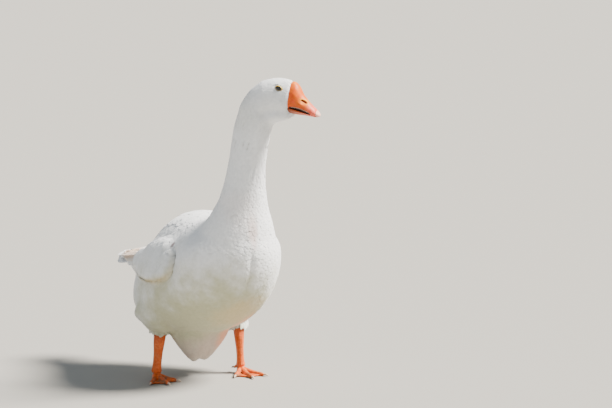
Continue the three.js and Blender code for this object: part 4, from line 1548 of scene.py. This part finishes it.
def eyelids(side_sign):
    """The ring of bare skin round an eye, from the wet edge on the ball to under the feathers."""
    middle = np.array(EYE_PLACE) * (side_sign, 1, 1)
    turn = np.arange(LID_ROUND) / LID_ROUND * math.tau
    rows = []

    def outline(size):
        pointed = np.interp(size, [1.0, 1.6], [0.4, 0.05])
        forward = EYE_OPENING[0] * size * np.cos(turn)
        upward = EYE_OPENING[1] * size * np.sin(turn) * np.abs(np.sin(turn)) ** pointed
        upward = upward - 0.45 * np.cos(turn) - 0.35 * (upward > 0) * (upward / EYE_OPENING[1]) ** 2
        return forward, upward

    def level_of_ball(size):
        forward, upward = outline(size)
        return np.sqrt(np.clip(EYE_RADIUS**2 - forward**2 - upward**2, 4, None))

    forward, upward = outline(1.52)
    face_level = np.empty(LID_ROUND)
    for index in range(LID_ROUND):
        start = middle + (side_sign * 40, -forward[index], upward[index])
        way = head_turn @ np.array([-side_sign, 0.0, 0.0])
        hit, _, _, _ = skin_tree.ray_cast(Vector(from_head(start)), Vector(way))
        face_level[index] = abs(in_head(np.array(hit))[0] - middle[0])
    face_level = (np.roll(face_level, 1) + face_level + np.roll(face_level, -1)) / 3
    edge_level = level_of_ball(1.0)
    for size, lift in LID_ACROSS:
        forward, upward = outline(size)
        part = np.clip((size - 1) / 0.46, 0, 1)
        part = part * part * (3 - 2 * part)
        level = (edge_level if size > 1 else level_of_ball(size)) * (1 - part) + face_level * part
        crease = 0.09 * np.sin(turn * 22 + size * 5) * (1.08 < size < 1.5)
        upper_fold = 0.3 * np.clip(np.sin(turn), 0, 1) * (1.15 < size < 1.35)
        out = level + lift + crease + upper_fold
        rows.append(middle + np.stack([side_sign * out, -forward, upward], 1))
    points = from_head(np.concatenate(rows))
    across = len(LID_ACROSS)
    faces = []
    for row in range(across):
        for index in range(LID_ROUND):
            here, after = row * LID_ROUND, (row + 1) % across * LID_ROUND
            next_index = (index + 1) % LID_ROUND
            corners = (here + index, here + next_index, after + next_index, after + index)
            faces.append(corners if side_sign < 0 else corners[::-1])
    return points, np.array(faces)


def eye_material():
    paint, tree, shader = new_paint("eye")
    shader.inputs["Roughness"].default_value = 0.12
    shader.inputs["Specular IOR Level"].default_value = 0.25
    shader.inputs["Coat Weight"].default_value = 0.4
    shader.inputs["Coat Roughness"].default_value = 0.03
    flecked = worked(tree, "MULTIPLY_ADD", cloud(tree, 1600.0, 2.0), 0.03, mask_of(tree, "OffAxis"))
    tone = ramp(
        tree,
        flecked,
        (
            (0.0, (0.002, 0.002, 0.002)),
            (0.26, (0.002, 0.002, 0.002)),
            (0.29, (0.018, 0.021, 0.027)),
            (0.4, (0.026, 0.031, 0.04)),
            (0.47, (0.008, 0.005, 0.004)),
            (1.0, (0.03, 0.02, 0.016)),
        ),
    )
    tree.links.new(tone, shader.inputs["Base Color"])
    return paint


def lid_colour(tree):
    base = ramp(
        tree,
        mask_of(tree, "Outward"),
        (
            (0.0, (0.015, 0.008, 0.006)),
            (0.12, (0.03, 0.015, 0.008)),
            (0.22, (0.6, 0.36, 0.02)),
            (0.42, (0.6, 0.38, 0.05)),
            (0.62, (0.42, 0.36, 0.2)),
            (1.0, (0.5, 0.49, 0.46)),
        ),
    )
    # Painted shade on the lower lid.
    return mixed_in(tree, base, (0.2, 0.17, 0.14), mask_of(tree, "ShadeBelow"))


eye_paint = eye_material()
lid_paint = horny_material("eyelid_skin", lid_colour, 0.5, 300)
ball_points, ball_faces = round_ball()
for side, side_sign in SIDES:
    axis = Vector((side_sign, -0.16, 0.02)).normalized()
    toward_axis = Vector((0, 0, 1)).rotation_difference(axis).to_matrix()
    round_points = ball_points @ np.array(toward_axis).T
    off_axis = np.arccos(np.clip(round_points @ np.array(axis) / EYE_RADIUS, -1, 1))
    bulge = 1 + CORNEA_BULGE * np.clip(1 - (off_axis / 0.75) ** 2, 0, 1)
    middle = np.array(EYE_PLACE) * (side_sign, 1, 1)
    # Behind the lids the ball is drawn in, clear of the skin.
    covered = eye_reach(from_head(middle + round_points))
    bulge *= np.interp(covered, [1.03, 1.28], [1.0, 0.72])
    places = from_head(middle + round_points * bulge[:, None])
    eyeball = object_of(f"eyeball_{side}", places, ball_faces)
    paint_mask(eyeball, "OffAxis", off_axis / (math.pi / 2))
    eyeball.data.materials.append(eye_paint)
    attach(eyeball, "root")
    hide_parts(f"eye_{side}")
    lid_points, lid_faces = eyelids(side_sign)
    lids = object_of(f"eyelids_{side}", lid_points, lid_faces)
    across_lid = [(size - 0.9) / 0.56 for size, _ in LID_ACROSS]
    paint_mask(lids, "Outward", np.repeat(across_lid, LID_ROUND))
    lid_turn = np.tile(np.arange(LID_ROUND) / LID_ROUND * math.tau, len(LID_ACROSS))
    # Painted shade on the lower lid.
    paint_mask(lids, "ShadeBelow", 0.75 * smooth_step(-np.sin(lid_turn + 0.25), 0.0, 0.8))
    lids.data.materials.append(lid_paint)
    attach(lids, "root")

# --- Legs -----------------------------------------------------------------------------------
# Bare orange shanks and webbed feet under small many-sided scales, wider than they are high,
# darker at the joints and earthy near the floor, with painted shade in the grooves between the
# scales. Each leg is one surface, from inside the thigh's feathers to the toes.
LEG_GRAIN = 0.00075  # size of the legs' faces
CLAW_GRAIN = 0.0005
SCALE_SPACING = (0.0031, 0.0012)  # between scales' middles, and how much less under the toes
GROOVE_DEPTH = 0.00028
EARTH = (0.16, 0.09, 0.045)


def leg_skin(side):
    mesh = joined_solids((f"shank_{side}", f"foot_{side}"), grow=0.0004)
    low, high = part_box(f"shank_{side}")
    top = [vert for vert in mesh.vertices if vert.co.z > high.z - 0.003]
    axis = sum((vert.co for vert in top), Vector()) / len(top)
    for vert in top:
        vert.co = axis + (vert.co - axis) * 0.78 + Vector((0, 0, 0.005))
    leg = Surface(*evenly_faced(mesh, LEG_GRAIN))
    for _ in range(7):
        leg.points = leg.relaxed(leg.points, 2)
        leg.points = leg.relaxed(leg.points, 1, -0.6)
    return leg


def scaled_relief(leg):
    """How near each point is to a groove between two scales, and which scale it is on."""
    count = len(leg.points)
    flattened = leg.points * (0.85, 1.3, 1.5)
    near_floor = smooth_step(leg.points[:, 2], 0.009, 0.005)
    spacing = SCALE_SPACING[0] - SCALE_SPACING[1] * near_floor
    spacing = spacing * (1 - 0.25 * smooth_step(leg.points[:, 2], 0.06, 0.1))
    chance = np.random.default_rng(11)
    seeds = well_apart(flattened, spacing, chance.permutation(count))
    middles = tree_over(flattened[seeds])
    groove = np.empty(count)
    own = np.empty(count, int)
    for index, place in enumerate(flattened.tolist()):
        (_, first, near_away), (_, _, far_away) = middles.find_n(place, 2)
        groove[index] = (far_away - near_away) / spacing[index]
        own[index] = first
    tone = chance.uniform(0, 1, len(seeds))[own]
    return 1 - smooth_step(groove, 0.0, 0.42), tone


def leg_colour(tree):
    base = ramp(
        tree,
        mask_of(tree, "Tone"),
        ((0.0, (0.7, 0.115, 0.012)), (0.5, (0.8, 0.15, 0.02)), (1.0, (0.84, 0.2, 0.05))),
    )
    # Painted shade in the grooves between the scales.
    base = mixed_in(tree, base, (0.42, 0.07, 0.02), mask_of(tree, "GrooveShade"))
    base = mixed_in(tree, base, (0.5, 0.09, 0.03), mask_of(tree, "Joint"))
    patchy = spread(tree, cloud(tree, 90.0, 5.0), 0.42, 0.6, 0.0, 1.0)
    dirt = worked(tree, "MULTIPLY", patchy, mask_of(tree, "Dirt"))
    return mixed_in(tree, base, EARTH, dirt)


leg_paint = horny_material("leg_skin", leg_colour, 0.6, 120, bump=0.2)
claw_paint = plain_horn("claw_horn", (0.62, 0.46, 0.34), 0.4)
for side, side_sign in SIDES:
    leg = leg_skin(side)
    groove, tone = scaled_relief(leg)
    out = leg.normals()
    leg.points = leg.points - out * (GROOVE_DEPTH * groove - 0.00008)[:, None]
    leg.points[:, 2] = np.maximum(leg.points[:, 2], 0.0)
    leg_piece = object_of(f"leg_{side}", leg.points, leg.faces)
    low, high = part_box(f"shank_{side}")
    rise = leg.points[:, 2]
    paint_mask(leg_piece, "Tone", tone)
    # Painted shade in the grooves between the scales.
    paint_mask(leg_piece, "GrooveShade", groove * 0.75)
    paint_mask(leg_piece, "Joint", 0.6 * smooth_step(rise, high.z - 0.028, high.z - 0.006))
    paint_mask(leg_piece, "Dirt", 0.75 * smooth_step(rise, 0.02, 0.003) + 0.12)
    leg_piece.data.materials.append(leg_paint)
    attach(leg_piece, "root")
    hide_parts(f"shank_{side}", f"foot_{side}")
    claw_nodes = [f"claw_{toe}_{side}" for toe in ("inner", "middle", "outer", "hind")]
    claws = Surface(*evenly_faced(joined_solids(claw_nodes, grow=0.0003), CLAW_GRAIN))
    claws.points = claws.relaxed(claws.points, 6)
    claw_piece = object_of(f"claws_{side}", claws.points, claws.faces)
    claw_piece.data.materials.append(claw_paint)
    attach(claw_piece, "root")
    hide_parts(*claw_nodes)
